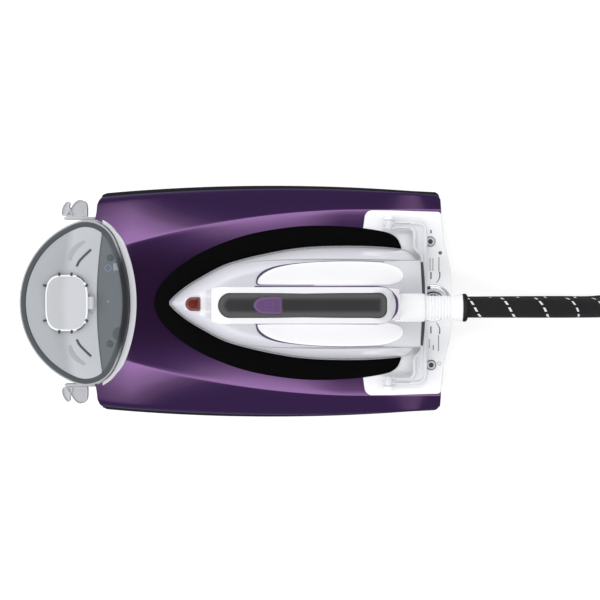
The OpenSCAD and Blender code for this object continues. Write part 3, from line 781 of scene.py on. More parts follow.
# %% The rest pad
pad_low, pad_high = box_mm("rest_pad")
pad_side = [(-84, 3), (-79, 16), (-64, 33), (-40, 49.5), (-15, 61), (10, 69.5), (36, 75),
            (64, 78.6), (90, 79.4), (120, 78), (143, 75), (158, 71.5), (166, 66), (170, 57.6)]

bm = bmesh.new()
pad_top = plate(bm, mirrored(flowing(pad_side)), pad_low.z, pad_high.z)
bmesh.ops.inset_region(bm, faces=[pad_top], thickness=3.2, use_even_offset=True)
bmesh.ops.translate(bm, vec=(0, 0, -1.1), verts=pad_top.verts)
round_off(bm, sharp_edges(bm, 15), 0.7, 3)
make("rest_pad_black", bm, "station", pad_black, ["rest_pad"], "pad_black")

# %% [markdown]
# The control deck is a white plate with a soft edge, flush with the creases of the shell. Behind
# the shell it turns down as an apron. Its outline is one half, mirrored.

# %% The control deck
DECK_TOP = 113.5
deck_side = (arc(140.5, 87.3, 8, 172, 90, 6) + [(160, 95.1), (190, 94.2)]
             + arc(207.5, 89.5, 4.2, 88, 5, 4)
             + [(213.2, 74), (213.8, 64), (216.4, 54), (219, 44), (220.8, 34), (221.8, 20),
                (222, 8)])
deck_outline = mirrored([(130.8, 76)] + deck_side)

bm = bmesh.new()
round_off(bm, list(plate(bm, deck_outline, 106.5, DECK_TOP).edges), 1.8, 4)

# %% [markdown]
# A shallow dish is carved for the dial, and a well for each button. A well goes right through the
# deck, so that its cap has room to be pressed. The two ears at the front carry the lock hoop.

# %% The deck's dish and wells
DIAL = Vector((203, 0, 0))
DISH_R = 18.5
WELL_R = 5.2
WELL_MOUTH = 5.9
HOOP_X, HOOP_Z = 157, 121.8
dish = bmesh.new()
lathe(dish, [(112.4, 0), (112.4, DISH_R - 1.4), (112.7, DISH_R - 0.5), (113.6, DISH_R + 0.3),
             (120, DISH_R + 0.3), (120, 0)], DIAL, steps=64)
bm = carve(bm, dish)
for name in ("power_button", "eco_button"):
    well = bmesh.new()
    lathe(well, [(90, 0), (90, WELL_R), (112.6, WELL_R), (113.1, WELL_MOUTH), (120, WELL_MOUTH),
                 (120, 0)], middle_of(name), steps=40)
    bm = carve(bm, well)
apron = mirrored([(SHELL_REAR + 0.3, 89)] + deck_side[-7:])
plate(bm, apron, box_mm("control_deck")[0].z, 107)
ear = [(HOOP_X - 4.5, 112.5), (HOOP_X + 4.5, 112.5)] + arc(HOOP_X, HOOP_Z, 4.5, 0, 180, 12)
for side in (1, -1):
    slab(bm, [(x, side * 85.4, z) for x, z in ear], (0, side * 4, 0))
make("control_deck_white", bm, "station", white_gloss, ["control_deck"], "white_gloss", sharp=40)

# %% [markdown]
# The tank has clear, smoky and solid plastics. The clear ones let part of the light through, as
# their alpha says, and the small parts under the window are solid.

# %% Finishes of the tank


def clear_plastic(name, colour, alpha, roughness=0.06):
    """Plastic that lets part of the light through."""
    material, tree, main = shader(name, colour, roughness, Alpha=alpha, IOR=1.49)
    mottle(tree, main, colour, 20, 0.03)
    return material


smoky_clear = clear_plastic("smoky_clear", (0.42, 0.45, 0.47), 0.42)
smoky_window = clear_plastic("smoky_window", (0.15, 0.168, 0.18), 0.88, 0.2)
slot_grey = plastic("slot_grey", (0.075, 0.08, 0.088), 0.45, Specular_IOR_Level=0.2)
boss_grey = plastic("boss_grey", (0.085, 0.092, 0.1), 0.5, Specular_IOR_Level=0.1)
float_blue = plastic("float_blue", (0.15, 0.18, 0.24), 0.4)
float_pale = plastic("float_pale", (0.215, 0.24, 0.265), 0.4)
# The grey of the finger grooves is painted shade.
groove_shade_grey = plastic("groove_shade_grey", (0.33, 0.345, 0.36), 0.5, Specular_IOR_Level=0.2)

# %% [markdown]
# The cover is frosted, and is painted darker in front of a border and paler behind it: painted
# shade. The border runs across the tank, and both the cover and the filling lid have it. The tank's
# rim and its lip are painted in two tones at a border further back, and are lighter in front of it.
# A ramp along the length of the object gives the two tones.

# %% The frosted plastic
TONE_BORDER = -0.1765
RING_BORDER = -0.125
TONE_REACH = 0.04
TONE_LEAN = 0.12
TONE_WAVER = 0.003


def frosted(name, deep, pale, roughness, border=TONE_BORDER, **more):
    """Frosted clear plastic in two tones, one in front of a border and one behind it. On the cover
    and the lid the darker front is painted shade.
    """
    material, tree, main = shader(name, pale, roughness, **more)
    place = tree.nodes.new("ShaderNodeTexCoord")
    split = tree.nodes.new("ShaderNodeSeparateXYZ")
    tree.links.new(place.outputs["Object"], split.inputs["Vector"])
    across = calc(tree, "MULTIPLY", calc(tree, "ABSOLUTE", split.outputs["Y"]), TONE_LEAN)
    along = calc(tree, "ADD", calc(tree, "SUBTRACT", split.outputs["X"], across),
                 calc(tree, "MULTIPLY", noise(tree, 25), TONE_WAVER))
    share = calc(tree, "DIVIDE", calc(tree, "SUBTRACT", along, border - TONE_REACH),
                 2 * TONE_REACH)
    tones(tree, main, share, deep, pale, 0.46, 0.56)
    bumps(tree, main, noise(tree, 700), 0.03, GRAIN_DEPTH)
    return material


# The darker front of the cover and of the lid is painted shade.
frosted_lid = frosted("frosted_lid", (0.33, 0.345, 0.365), (0.44, 0.46, 0.485), 0.3)
smoky_ring = frosted("smoky_ring", (0.072, 0.08, 0.086), (0.02, 0.022, 0.025), 0.3, RING_BORDER,
                     Specular_IOR_Level=0.3)
ring_lip = frosted("ring_lip", (0.4, 0.415, 0.435), (0.03, 0.033, 0.036), 0.35, RING_BORDER,
                   Specular_IOR_Level=0.3)
lid_glass = frosted("lid_glass", (0.45, 0.46, 0.48), (0.52, 0.53, 0.555), 0.2, Coat_Weight=0.5)

# %% [markdown]
# The tank is a tub of smoky clear plastic. Rings of the same outline, at different heights and
# insets, are joined from the outside wall over the rim and down the inside, which gives the wall
# its real thickness. The rim and its lip are closed bands of the same kind. The cover is two
# plates, a light one in front and a window behind, and the light one has a mouth for the lid.

# %% The tub, its rim and its cover
COVER_TOP = 121
COVER_INSET = 6.6
tub_low, tub_high = box_mm("tank_shell")
lofted("tank_tub", "tank", smoky_clear, tank_plan, (
    (3, tub_low.z), (0.9, tub_low.z + 0.7), (0, tub_low.z + 3), (0, tub_high.z), (2.4, tub_high.z),
    (2.4, tub_low.z + 4), (4, tub_low.z + 2.6)), ["tank_shell"], "smoky_clear")

lofted("tank_rim", "tank", smoky_ring, tank_plan, (
    (1.5, 112), (1.5, 120.2), (1.8, 120.8), (2.4, COVER_TOP), (5.4, COVER_TOP), (6.1, 120.8),
    (COVER_INSET, 119.6), (COVER_INSET, 112)), ["tank_cover"], "smoky_dark", caps=False)
lofted("tank_lip", "tank", ring_lip, tank_plan, (
    (1.5, 112), (0, 112), (0, 118.4), (0.2, 119.3), (0.7, 119.9), (1.5, 120.1)),
    slot="smoky_clear", caps=False)


def divider_x(y):
    """The border between the light part of the cover and its darker window."""
    return -142.5 + 5.6 * (y / 71.5) ** 2


DIVIDER = [y * 7.0 for y in range(-10, 11)]
COVER_TIP_R = TIP_R - COVER_INSET
x, y = TIP
light_plan = (arc(x, y, COVER_TIP_R, 50, TIP_FRONT - 4, 12)
              + arc(TANK_MID, 0, FRONT_R - COVER_INSET, TIP_FRONT, 360 - TIP_FRONT, 56)
              + arc(x, -y, COVER_TIP_R, 364 - TIP_FRONT, 310, 12)
              + [(divider_x(y), y) for y in DIVIDER])
bm = bmesh.new()
round_off(bm, list(plate(bm, light_plan, 118.4, 120.3).edges), 0.6, 2)
mouth = bmesh.new()
plate(mouth, mirrored(arc(-182, 15, 8, 180, 90, 6) + arc(-164, 15, 8, 90, 0, 6)), 115, 124)
bm = carve(bm, mouth)
make("cover_light", bm, "tank", frosted_lid, slot="smoky_clear")

window_plan = (arc(x, -y, COVER_TIP_R, 314, 360 - TIP_REAR, 6)
               + arc(TANK_REAR_MID, 0, REAR_R - COVER_INSET, 1 - TIP_REAR, TIP_REAR - 1, 30)
               + arc(x, y, COVER_TIP_R, TIP_REAR, 46, 6)
               + [(divider_x(y) + 0.4, y) for y in reversed(DIVIDER)])
bm = bmesh.new()
plate(bm, window_plan, 117.4, 119.2)
make("cover_window", bm, "tank", smoky_window, slot="smoky_dark")

# %% [markdown]
# The iron's casing narrows towards the top, and its plan is a boat shape with a square stern. The
# plan is drawn once as shares of length and width. Each ring of the casing is that plan with its
# own inset, its own place of the stern and its own height.

# %% The iron's plan
IRON_TIP = -68
IRON_HALF = 58.5
BOAT = [(0, 0.03), (0.024, 0.14), (0.07, 0.3), (0.13, 0.46), (0.215, 0.655), (0.306, 0.78),
        (0.408, 0.88), (0.5, 0.95), (0.604, 0.99), (0.74, 1), (0.843, 0.985), (0.918, 0.955),
        (0.965, 0.9), (0.99, 0.78), (1, 0.65)]
boat_side = flowing(BOAT, 4)


def iron_plan(inset, rear):
    """The iron from above, a distance inside its edge, with its stern at a given place."""
    front = IRON_TIP + 1.6 * inset
    return mirrored([(front + along * (rear - front), out * (IRON_HALF - inset))
                     for along, out in boat_side])


# %% The casing and the sole
casing_white = plastic("casing_white", (0.69, 0.7, 0.74), 0.18, 0.01, 1500, 0.02,
                       Coat_Weight=0.6, Coat_Roughness=0.05)
handle_gloss = plastic("handle_gloss", (0.77, 0.775, 0.8), 0.2, 0.006, 1500, 0.015,
                       Coat_Weight=0.6, Coat_Roughness=0.05)
ledge_white = plastic("ledge_white", (0.6, 0.605, 0.635), 0.2, 0.01, 1500, 0.02, Coat_Weight=0.5)
crease_grey = plastic("crease_grey", (0.42, 0.42, 0.45), 0.4, 0.02)
# The saddles' whiter colour is a painted highlight.
saddle_highlight_white = plastic("saddle_highlight_white", (0.97, 0.97, 0.98), 0.12, 0.005, 1500, 0.01,
                       Coat_Weight=0.8)
levels = [(0.9, 187, 118), (0.7, 186.8, 121), (1.3, 185.8, 127), (2.6, 182.3, 135),
          (5, 177.6, 143), (8.2, 174.4, 152), (11.4, 172.2, 159), (14, 170.8, 162.6),
          (16.4, 169.2, 163.9), (20, 166.5, 164.2)]
lofted("casing_shell", "iron", casing_white, iron_plan,
       smooth_line([Vector(level) for level in levels], 2), ["iron_casing"], "white_gloss", 50)

sole_foot = box_mm("soleplate")[0].z
lofted("sole_silver", "iron", silver, iron_plan, (
    (3, 184, sole_foot), (1.6, 185.4, sole_foot + 0.4), (1.5, 185.5, 116.4), (0, 186.8, 116.6),
    (-0.3, 187, 117.2), (0, 186.8, 117.9), (2, 185, 118.1)), ["soleplate", "sole_trim"],
    "aluminium")

# %% [markdown]
# The top of the casing runs on over the heel as a ledge, which the lock hoop reaches under. Its two
# side edges go on along the casing as fine creases. A dark strip under the rear edge is painted
# shadow: it stands for the shaded gap between the heel and the hoop. The ledge is lofted from the
# casing's back up to its top.

# %% The ledge over the heel


def ledge_plan(front, rear, half):
    """The ledge from above: its rear edge runs back a little towards the middle."""
    return mirrored([(front, half - 1.5), (front + 18, half), (rear - 2.4, half),
                     (rear - 1.8, half - 0.8), (rear, 11), (rear + 0.2, 3)])


lofted("heel_ledge", "iron", ledge_white, ledge_plan, (
    (150, 176, 40, 148), (149, 183.6, 42.6, 156), (148.5, 188.3, 43.6, 160.5),
    (148, 188.9, 43.8, 162.8), (148.2, 188.7, 43.6, 163.6), (149, 188, 42.8, 164.25)),
    slot="white_gloss", sharp=40)
# The dark strip is painted shadow, for the shaded gap behind the heel.
bm = bmesh.new()
bead(bm, mirrored([(187.9, 42), (188.9, 33), (189.8, 20), (190, 4)]), 160.6, 1.8, 4, 12)
make("heel_gap_shadow", bm, "iron", dark_grey, slot="pad_black")
bm = bmesh.new()
beads(bm, [(-2, 39.6), (30, 43.2), (70, 44.6), (110, 44.8), (150, 44.2), (176, 43.6), (186.5, 43)],
      163.75, lambda share: 0.5 * smoothstep(0, 0.3, share) + 0.1, 4)
make("casing_creases", bm, "iron", crease_grey, slot="white_gloss", sharp=60)

# %% [markdown]
# The handle is an arch. Seen from the side it is an outer line and the line of the finger opening.
# The two are bridged, extruded across the iron, rounded along every long edge, and narrowed
# towards the nose.

# %% The handle
HANDLE_HALF = 17.6
outer_side = ([(-50, 164), (-49.6, 172), (-47.5, 175), (-35, 175.4), (-28, 184), (-24, 196),
               (-17, 216)] + arc(2, 220, 26, 150, 95, 6) + [(30, 246), (70, 246.4), (110, 246)]
              + arc(132, 219, 27, 85, 20, 8) + [(161.5, 222), (164, 210), (164, 186), (164, 164)])
inner_side = ([(8, 164.0), (3.5, 172), (4, 184), (8, 196)] + arc(28, 196, 16, 140, 95, 5)
              + [(60, 212), (90, 212)] + arc(120, 196, 16, 85, 15, 6)
              + [(138, 188), (139.4, 180), (136, 164.0)])

bm = bmesh.new()
for points in (flowing(outer_side, 2), flowing(inner_side, 3)):
    verts = [bm.verts.new((x, -HANDLE_HALF, z)) for x, z in points]
    for pair in zip(verts, verts[1:]):
        bm.edges.new(pair)
bmesh.ops.bridge_loops(bm, edges=bm.edges[:])
thickened(bm, bm.faces[:], (0, 2 * HANDLE_HALF, 0))
bmesh.ops.recalc_face_normals(bm, faces=bm.faces)
rims = [e for e in sharp_edges(bm, 60) if abs(e.verts[0].co.y - e.verts[1].co.y) < 0.1
        and max(v.co.z for v in e.verts) > 165]
round_off(bm, rims, 5, 5)
for v in bm.verts:
    x = v.co.x
    nose = mix(0.2, 1, smoothstep(-62, -8, x))
    stern = math.sqrt(max(0.05, 1 - (max(0.0, x - 140) / 19.2) ** 3.3))
    upper = smoothstep(214, 228, v.co.z)
    v.co.y *= nose * mix(1 - 0.16 * smoothstep(146, 166, x), stern, upper)
make("handle_white", bm, "iron", handle_gloss, ["handle_shell"], "white_gloss", sharp=50)

# %% [markdown]
# The dark strip on the handle is a soft grip with a crowned top. It has a round front, square
# corners at the back, and a well that the steam button moves in. The button is pointed at the
# front, and so is its well.

# %% The grip strip and its button
grip_dark = plastic("grip_dark", (0.024, 0.024, 0.025), 0.3, 0.05, 2200, 0.12,
                    Specular_IOR_Level=0.7, Coat_Weight=0.3)
button_plum = plastic("button_plum", (0.105, 0.05, 0.145), 0.35, 0.04, 1500, 0.06, Coat_Weight=0.2)


def strip_plan(inset):
    """The grip strip from above: a round front and two rear corners."""
    r = 12.3 - inset
    return (arc(-0.8, 0, r, 90, 270, 24) + arc(142, -4.3, 8 - inset, 270, 360, 8)
            + arc(142, 4.3, 8 - inset, 0, 90, 8))


def button_plan(inset):
    """The steam button from above: a pointed front and a square rear."""
    nose, tail, half = 21.5, 48.5 - inset, 8.5 - inset
    front = [(34 - (34 - nose - inset) * math.cos(math.radians(t)) ** 0.85,
              half * math.sin(math.radians(t))) for t in range(0, 90, 9)]
    side = front + arc(tail - 1.6, half - 1.6, 1.6, 90, 0, 4)
    return side + [(x, -y) for x, y in reversed(side[1:])]


bm = bmesh.new()
loft(bm, [(strip_plan(inset), z) for inset, z in (
    (0, 243.6), (0, 245.6), (0.4, 246.2), (1.4, 246.8), (3, 247.5), (5, 248.1), (7, 248.4),
    (7.8, 248.5))])
well = bmesh.new()
plate(well, button_plan(-0.45), 243.9, 252)
bm = carve(bm, well)
make("grip_strip_dark", bm, "iron", grip_dark, ["grip_strip"], "grip_grey", sharp=40)

lofted("steam_button_plum", "steam_button", button_plum, button_plan, (
    (0, 243.4), (0, 248.6), (0.35, 249.2), (1.1, 249.6), (2.6, 249.85), (5, 250)),
    ["steam_button"], "button_purple", sharp=45)
bm = bmesh.new()
for x in (33, 36.5, 40):
    for y in (-3, 0, 3):
        lathe(bm, [(-0.3, 0.9), (0.12, 0.85), (0.3, 0.5), (0.36, 0)], (x, y, 249.85), steps=12)
make("button_dots", bm, "steam_button", button_plum, slot="button_purple")

# %% [markdown]
# The pilot lamp is a small red window on the nose, with a light rim that stands round it. The red
# is a little uneven, as a faceted lens is.

# %% The pilot lamp
LAMP_X = -41
lamp_red, lamp_tree, lamp_main = shader("lamp_red", (0.12, 0.014, 0.01), 0.15, Coat_Weight=0.7,
                                        Subsurface_Weight=0.2)
mottle(lamp_tree, lamp_main, (0.13, 0.02, 0.015), 180, 0.35)


def lamp_plan(inset):
    """The lamp from above: a round front and a straight rear."""
    front = [(LAMP_X + x * (7.8 - inset), y * (7.4 - inset)) for x, y in arc(0, 0, 1, 100, 260, 12)]
    rear = LAMP_X + 6.4 - inset
    return (front + arc(rear, inset - 5.8, 1.6, 270, 360, 4)
            + arc(rear, 5.8 - inset, 1.6, 0, 90, 4))


lofted("lamp_red_window", "iron", lamp_red, lamp_plan, (
    (0.6, 174.6), (0.6, 177.2), (0.9, 178), (1.6, 178.6), (3, 178.9), (4.4, 179)), ["lamp_lens"],
    "lamp_red")
lofted("lamp_rim", "iron", casing_white, lamp_plan, (
    (-0.5, 174.4), (-0.5, 176.4), (0, 176.9), (0.6, 176.6), (0.6, 174.4)), slot="white_gloss",
    caps=False)

# %% [markdown]
# The heel is a smooth white sleeve that holds the hose's boot. The boot is a turned piece: a row
# of soft ribs that let it bend, and then a flare. A black collar closes it.

# %% The heel, the boot and the collar
BOOT_AXIS = (0, -3.3, 189.6), (1, 0, 0)
boot_white = plastic("boot_white", (0.84, 0.845, 0.855), 0.4, 0.01, 900, 0.05)
turned("heel_sleeve", "iron", boot_white, [
    (160, 0), (160, 13.4), (164.5, 13.9), (170, 14), (187, 14), (189, 13.7), (189.9, 12.8),
    (190, 11), (190, 0)], *BOOT_AXIS, 64, hides=["heel_cover"], slot="white_gloss", sharp=50)

RIBS = 8
RIB_PITCH = 3.1
profile = [(189.9, 0), (189.9, 11.2)]
for i in range(RIBS):
    start = 190.4 + i * RIB_PITCH
    profile += [(start + RIB_PITCH * share, radius) for share, radius in
                ((0, 11.1), (0.12, 11.75), (0.3, 12), (0.62, 12), (0.8, 11.75), (0.92, 11.1))]
profile += [(215.6, 11.9), (219, 12.2), (222.5, 12.8), (225.6, 13.6), (226.6, 13.6), (227, 13),
            (227, 0)]
boot = turned("hose_boot_white", "iron", boot_white, profile, *BOOT_AXIS, 64,
              hides=["hose_boot"], slot="boot_white", sharp=60)
collar = turned("boot_collar_black", "iron", collar_black, [
    (226.8, 0), (226.8, 12), (227.1, 13.4), (228, 14), (229.6, 14), (231, 13.2), (231.8, 11.8),
    (232, 10.2), (232, 0)], *BOOT_AXIS, 64, hides=["boot_collar"], slot="pad_black", sharp=60)

# %% [markdown]
# On each side of the handle the casing has a glossy saddle where the fingers go. It is a long
# pillow, and its white is painted brighter than the casing's: a painted highlight, for the light
# that the pillow reflects. Its outline is drawn once and lofted inwards, up its round edge to a
# nearly flat top. A plum line runs round its front and fades out along the side.

# %% The saddles
SADDLE_TOP = 165.2


def saddle_plan(side, inset):
    """The saddle on one side, a distance inside its edge."""
    edge = [(23, 22), (25.5, 27), (33, 32.6), (44, 37), (60, 40.2), (80, 42), (104, 42.8),
            (128, 42.7), (149, 41), (163, 36.6), (168.5, 32), (169.6, 27), (166, 22), (157, 19.4),
            (150, 19), (100, 19), (50, 19), (28, 19.3), (24, 20)]
    middle = Vector((104, 30.5))
    loop = [(x + (middle.x - x) * inset / 78, y + (middle.y - y) * inset / 13) for x, y in edge]
    return [(x, side * y) for x, y in flowing([loop[-1], *loop, loop[0]])[4:-4]]


for name, side in (("left", 1), ("right", -1)):
    lofted("saddle_" + name, "iron", saddle_highlight_white, saddle_plan, [
        (side, inset, SADDLE_TOP + lift) for inset, lift in (
            (0, -2.2), (0, -0.6), (0.4, -0.2), (1.2, 0), (3, 0.2), (5, 0.3), (8, 0.4))],
           slot="white_gloss", sharp=50)

# %% The plum lines
bm = bmesh.new()
beads(bm, [(150, 42.3), (110, 43), (80, 42), (58, 40), (42, 37.2), (31, 33), (24.6, 27.6),
           (22.4, 22), (23.4, 19.6), (28, 18.9), (50, 18.7), (80, 18.7)],
      SADDLE_TOP - 0.3, lambda share: 0.22 + 0.75 * math.sin(math.pi * share) ** 5)
make("saddle_lines", bm, "iron", lilac_trim, slot="button_purple", sharp=60)

# %% [markdown]
# The lock hoop is a white frame that swings up over the heel of the iron. Its cross section is a
# flat flange with a round bead along its inner edge and its outer edge. The flange is a plate, and
# the beads are swept round it. On the arms a grey line is painted along each bead: painted shade,
# for the dark stripes of shade that run along the arms. Each rear corner has two short ridges. The
# hoop turns on two round bosses by the ears of the deck.

# %% The lock hoop
hoop_white = plastic("hoop_white", (0.72, 0.73, 0.765), 0.3, 0.01, 1200, 0.03, Coat_Weight=0.3)
hoop_shade_grey = plastic("hoop_shade_grey", (0.47, 0.485, 0.52), 0.4)
HOOP_REAR = 196.2
hoop_inner = ([(HOOP_X, 74.6), (178, 74.6)] + arc(177.8, 70.6, 4, 80, 10, 5)
              + [(181.8, 55.5), (186.8, 50.5), (189.4, 46), (189.4, 4)])
hoop_outer = [(HOOP_X, 83.2)] + arc(HOOP_REAR - 8, 75.2, 8, 85, 5, 8) + [(HOOP_REAR, 4)]
bm = bmesh.new()
plate(bm, mirrored(hoop_outer) + mirrored(hoop_inner)[::-1], 117.5, 121.8)
round_off(bm, sharp_edges(bm, 60), 0.9, 3)
inner_bead = [(150.8, 76.3), (157, 76.3), (178.4, 76.3), (182.2, 74.6), (183.5, 70), (183.5, 56.5),
              (187.8, 51.8), (191, 46), (191, 30), (191, 0)]
outer_bead = [(150.8, 81.5), (157, 81.5), (186, 81.5), (191.8, 79), (194.5, 73), (194.5, 40),
              (194.5, 0)]
for half in (inner_bead, outer_bead):
    bead(bm, half[:-1] + [(x, -y) for x, y in reversed(half)], 121.9, 1.8, sides=14)
for x in (186.5, 189.5):
    beads(bm, [(x, 74), (x, 66), (x, 58)], 121.3, 0.9, 3, 10)
for y0, y1 in ((74.6, 85), (-85, -74.6)):
    lathe(bm, [(y0, 0), (y0, 3.4), (y0 + 0.6, 4.1), (y1 - 0.6, 4.1), (y1, 3.4), (y1, 0)],
          (HOOP_X, 0, HOOP_Z), (0, 1, 0), 32)
make("lock_hoop_white", bm, "lock_hoop", hoop_white, ["lock_hoop"], "white_gloss", sharp=50)
# The grey lines along the arms are painted shade.
bm = bmesh.new()
for y in (76.3, 81.5):
    beads(bm, [(162.5, y), (168, y), (174, y), (179, y)], 122.85, 1.0, 3, 12)
make("hoop_arm_shade_lines", bm, "lock_hoop", hoop_shade_grey, slot="white_gloss", sharp=50)

# %% [markdown]
# The dial is a turned chrome ring with a dark face and a pointer. Its rim has fine flutes.

# %% The dial and the buttons of the deck
FLUTES = 48
FLUTE_R = 12.82
turned("dial_chrome", "steam_dial", chrome, [
    (112.95, 0), (112.95, 12.4), (113.4, 12.9), (116, 12.9), (116.7, 12.5), (116.9, 11.8),
    (116.8, 9.6), (116.3, 9.1), (116.2, 0)], DIAL, steps=72, hides=["steam_dial"], slot="chrome",
    sharp=30)
turned("dial_face", "steam_dial", dark_grey, [
    (115.8, 8.8), (116.5, 8.8), (116.75, 8.3), (116.85, 6), (116.85, 0)], DIAL, steps=48,
    slot="pad_black", sharp=30)
bm = bmesh.new()
for i in range(FLUTES):
    turn = math.tau * i / FLUTES
    block(bm, (DIAL.x + FLUTE_R * math.cos(turn), FLUTE_R * math.sin(turn), 114.8),
          (0.3, 0.7, 2), turn)
block(bm, (DIAL.x, 5.2, 116.75), (0.9, 5.5, 0.3))
make("dial_flutes", bm, "steam_dial", chrome, slot="chrome", sharp=30)

button_grey = plastic("button_grey", (0.6, 0.61, 0.63), 0.3, Coat_Weight=0.3)
for name, body in (("power", "power_button"), ("eco", "eco_button")):
    bm = bmesh.new()
    lathe(bm, [(108, 0), (108, 4.5), (114.2, 4.5), (114.8, 4.1), (115, 3.4), (114.8, 2.6),
               (114.7, 0)], middle_of(body))
    make(name + "_cap", bm, body, button_grey, [body], "light_grey", sharp=40)
    bm = bmesh.new()
    lathe(bm, [(114.5, 0), (114.5, 2.6), (114.9, 2.5), (115, 2.1), (115, 0)], middle_of(body),
          steps=24)
    make(name + "_mark", bm, body, dark_grey, slot="pad_black", sharp=40)

# %% [markdown]
# Small printed marks on the deck show what each button and the dial do. They are plain bars, dots
# and bows with no words. Each one is a thin plate or a flat line that just stands out of the deck.

# %% The marks of the deck
MARK_Z = DECK_TOP + 0.02
bm = bmesh.new()
bars = ((200.7, 73.2, 1.5, 3.4), (200.7, 28, 1.3, 7.2), (200.7, -27.8, 1.3, 7.2),
        (199.8, 39.4, 0.6, 13), (202.7, 39.4, 0.6, 13), (208.9, 39.8, 0.8, 14.5),
        (208.6, -41.4, 0.8, 16.5), (199, -42, 0.6, 9.2), (203.2, -46, 0.9, 5.2))
for x, y, wide, long in bars:
    block(bm, (x, y, MARK_Z), (wide, long, 0.14))
beads(bm, [(209.6, 32), (209.8, 27.5), (208.6, 23.8), (206.4, 20.4)], MARK_Z - 0.3,
      lambda share: mix(0.8, 0.45, share))
lathe(bm, [(113.4, 0), (113.4, 1.9), (MARK_Z + 0.06, 1.8), (MARK_Z + 0.07, 0)],
      (210.2, 51.4, 0), steps=20)
make("deck_marks", bm, "station", mark_grey, slot="light_grey", sharp=50)
turned("deck_ring_mark", "station", mark_grey, [
    (113, 1.5), (MARK_Z + 0.07, 1.5), (MARK_Z + 0.07, 1.9), (113, 1.9)], (209.6, -62.5, 0),
    steps=24, slot="light_grey", sharp=50)

# %% [markdown]
# The dial stands in a dish with a chrome lining. The lining is polished, and a dark pointer is let
# into its rim on the left.

# %% The lining of the dish
turned("dish_lining", "station", chrome, [
    (112.5, 13.6), (112.6, 15.6), (113.2, 17.2), (113.9, 18.1), (114, 18.7), (113.7, 19),
    (113.2, 19), (112.5, 18.2), (112.42, 13.6)], DIAL, steps=72, slot="chrome", sharp=40)
bm = bmesh.new()
plate(bm, arc(DIAL.x, 0, 17.9, 100, 122, 6) + arc(DIAL.x, 0, 14.4, 122, 100, 6), 113, 113.95)
round_off(bm, sharp_edges(bm, 60), 0.2, 2)
make("dial_pointer", bm, "station", dark_grey, slot="pad_black")

# %% [markdown]
# A plum line runs round the upper part of the handle. It is thickest round the stern.

# %% The line round the handle
bm = bmesh.new()
bead(bm, mirrored([(22, 18.2), (50, 17.9), (100, 18), (135, 18.2), (142, 18), (148.5, 16.9),
                   (153, 14.8), (156.6, 11.6), (159.2, 7.4), (160.3, 2.5)]), 230,
     lambda share: mix(0.6, 1.35, smoothstep(0.36, 0.46, 0.5 - abs(share - 0.5))))
make("handle_line", bm, "iron", lilac_trim, ["trim_line"], "button_purple", sharp=60)

# %% [markdown]
# The cover of the tank has moulded details. The filling lid is a rounded square with a raised light
# rim and small dark notches for its latches. Beside it are two finger slots, each with a shallow
# groove. Under the clear window sit the float and a few bosses.

# %% The filling lid
LID_HALF = Vector((22, 29))
LID_X = box_mm("fill_lid")[0].x + LID_HALF.x
LID_POWER = 0.6


def lid_plan(inset):
    """A rounded square: a superellipse, as long as the lid."""
    return [(LID_X + (LID_HALF.x - inset) * math.copysign(abs(x) ** LID_POWER, x),
             (LID_HALF.y - inset) * math.copysign(abs(y) ** LID_POWER, y))
            for x, y in arc(0, 0, 1, 0, 360, 64)[:-1]]


lid_rim_white = plastic("lid_rim_white", (0.8, 0.81, 0.82), 0.3)
lofted("lid_plate", "fill_lid", lid_glass, lid_plan, (
    (1.4, 121.5), (1.1, 121.9), (1.1, 123.1), (1.6, 123.5), (3, 123.7), (7, 123.8), (14, 123.9)),
    ["fill_lid"], "lid_clear")
lofted("lid_rim", "fill_lid", lid_rim_white, lid_plan, (
    (1.0, 121.5), (0.1, 121.7), (0, 122.6), (0.2, 123.9), (0.6, 124.3), (1.3, 124.35), (1.8, 124),
    (2, 123.4), (2, 122.4), (1.8, 121.6)), slot="lid_clear", caps=False)
bm = bmesh.new()
lathe(bm, [(-6.5, 0), (-6.5, 2.6), (-6.1, 3), (6.1, 3), (6.5, 2.6), (6.5, 0)], (-147, 0, 124.4),
      (0, 1, 0), 24)
block(bm, (-149.6, 0, 122.9), (5, 12.4, 2.2))
make("lid_knuckle", bm, "fill_lid", frosted_lid, slot="lid_clear")
bm = bmesh.new()
for side in (1, -1):
    for x, y, turn in ((-180.4, 29.4, 90), (-167.8, 29.4, 90), (-195.2, 18, -15), (-152.4, 18, 40)):
        block(bm, (x, side * y, 124), (3.8, 2.4, 1.2), math.radians(side * turn))
round_off(bm, list(bm.edges), 0.3, 2)
make("lid_notches", bm, "fill_lid", dark_grey, slot="smoky_dark")
bm = bmesh.new()
beads(bm, [(-162.6, 27.9), (-158, 25.4), (-154.4, 21.4)], 124.2, 0.75, 4)
make("lid_gaps", bm, "fill_lid", dark_grey, slot="smoky_dark")

# %% Slots and grooves of the cover
GROOVE_Z = 120.3
bm = bmesh.new()
beads(bm, [(-163, 37.6), (-160.5, 42.5), (-156.5, 47), (-148.3, 54.8)], 119.9, 1.3, sides=10)
make("finger_slots", bm, "tank", slot_grey, slot="smoky_dark")
# The grooves stand out very little, and are painted darker than the cover: painted shade in the
# grooves.
bm = bmesh.new()
beads(bm, [(-170, 43), (-168.4, 50), (-163.4, 57), (-154.4, 63.4)], GROOVE_Z,
      lambda share: 2.7 * math.sin(math.pi * mix(0.05, 0.95, share)) ** 0.5, 6, 12)
for v in bm.verts:
    v.co.z = mix(GROOVE_Z, v.co.z, 0.07)
make("finger_grooves", bm, "tank", groove_shade_grey, slot="smoky_clear")

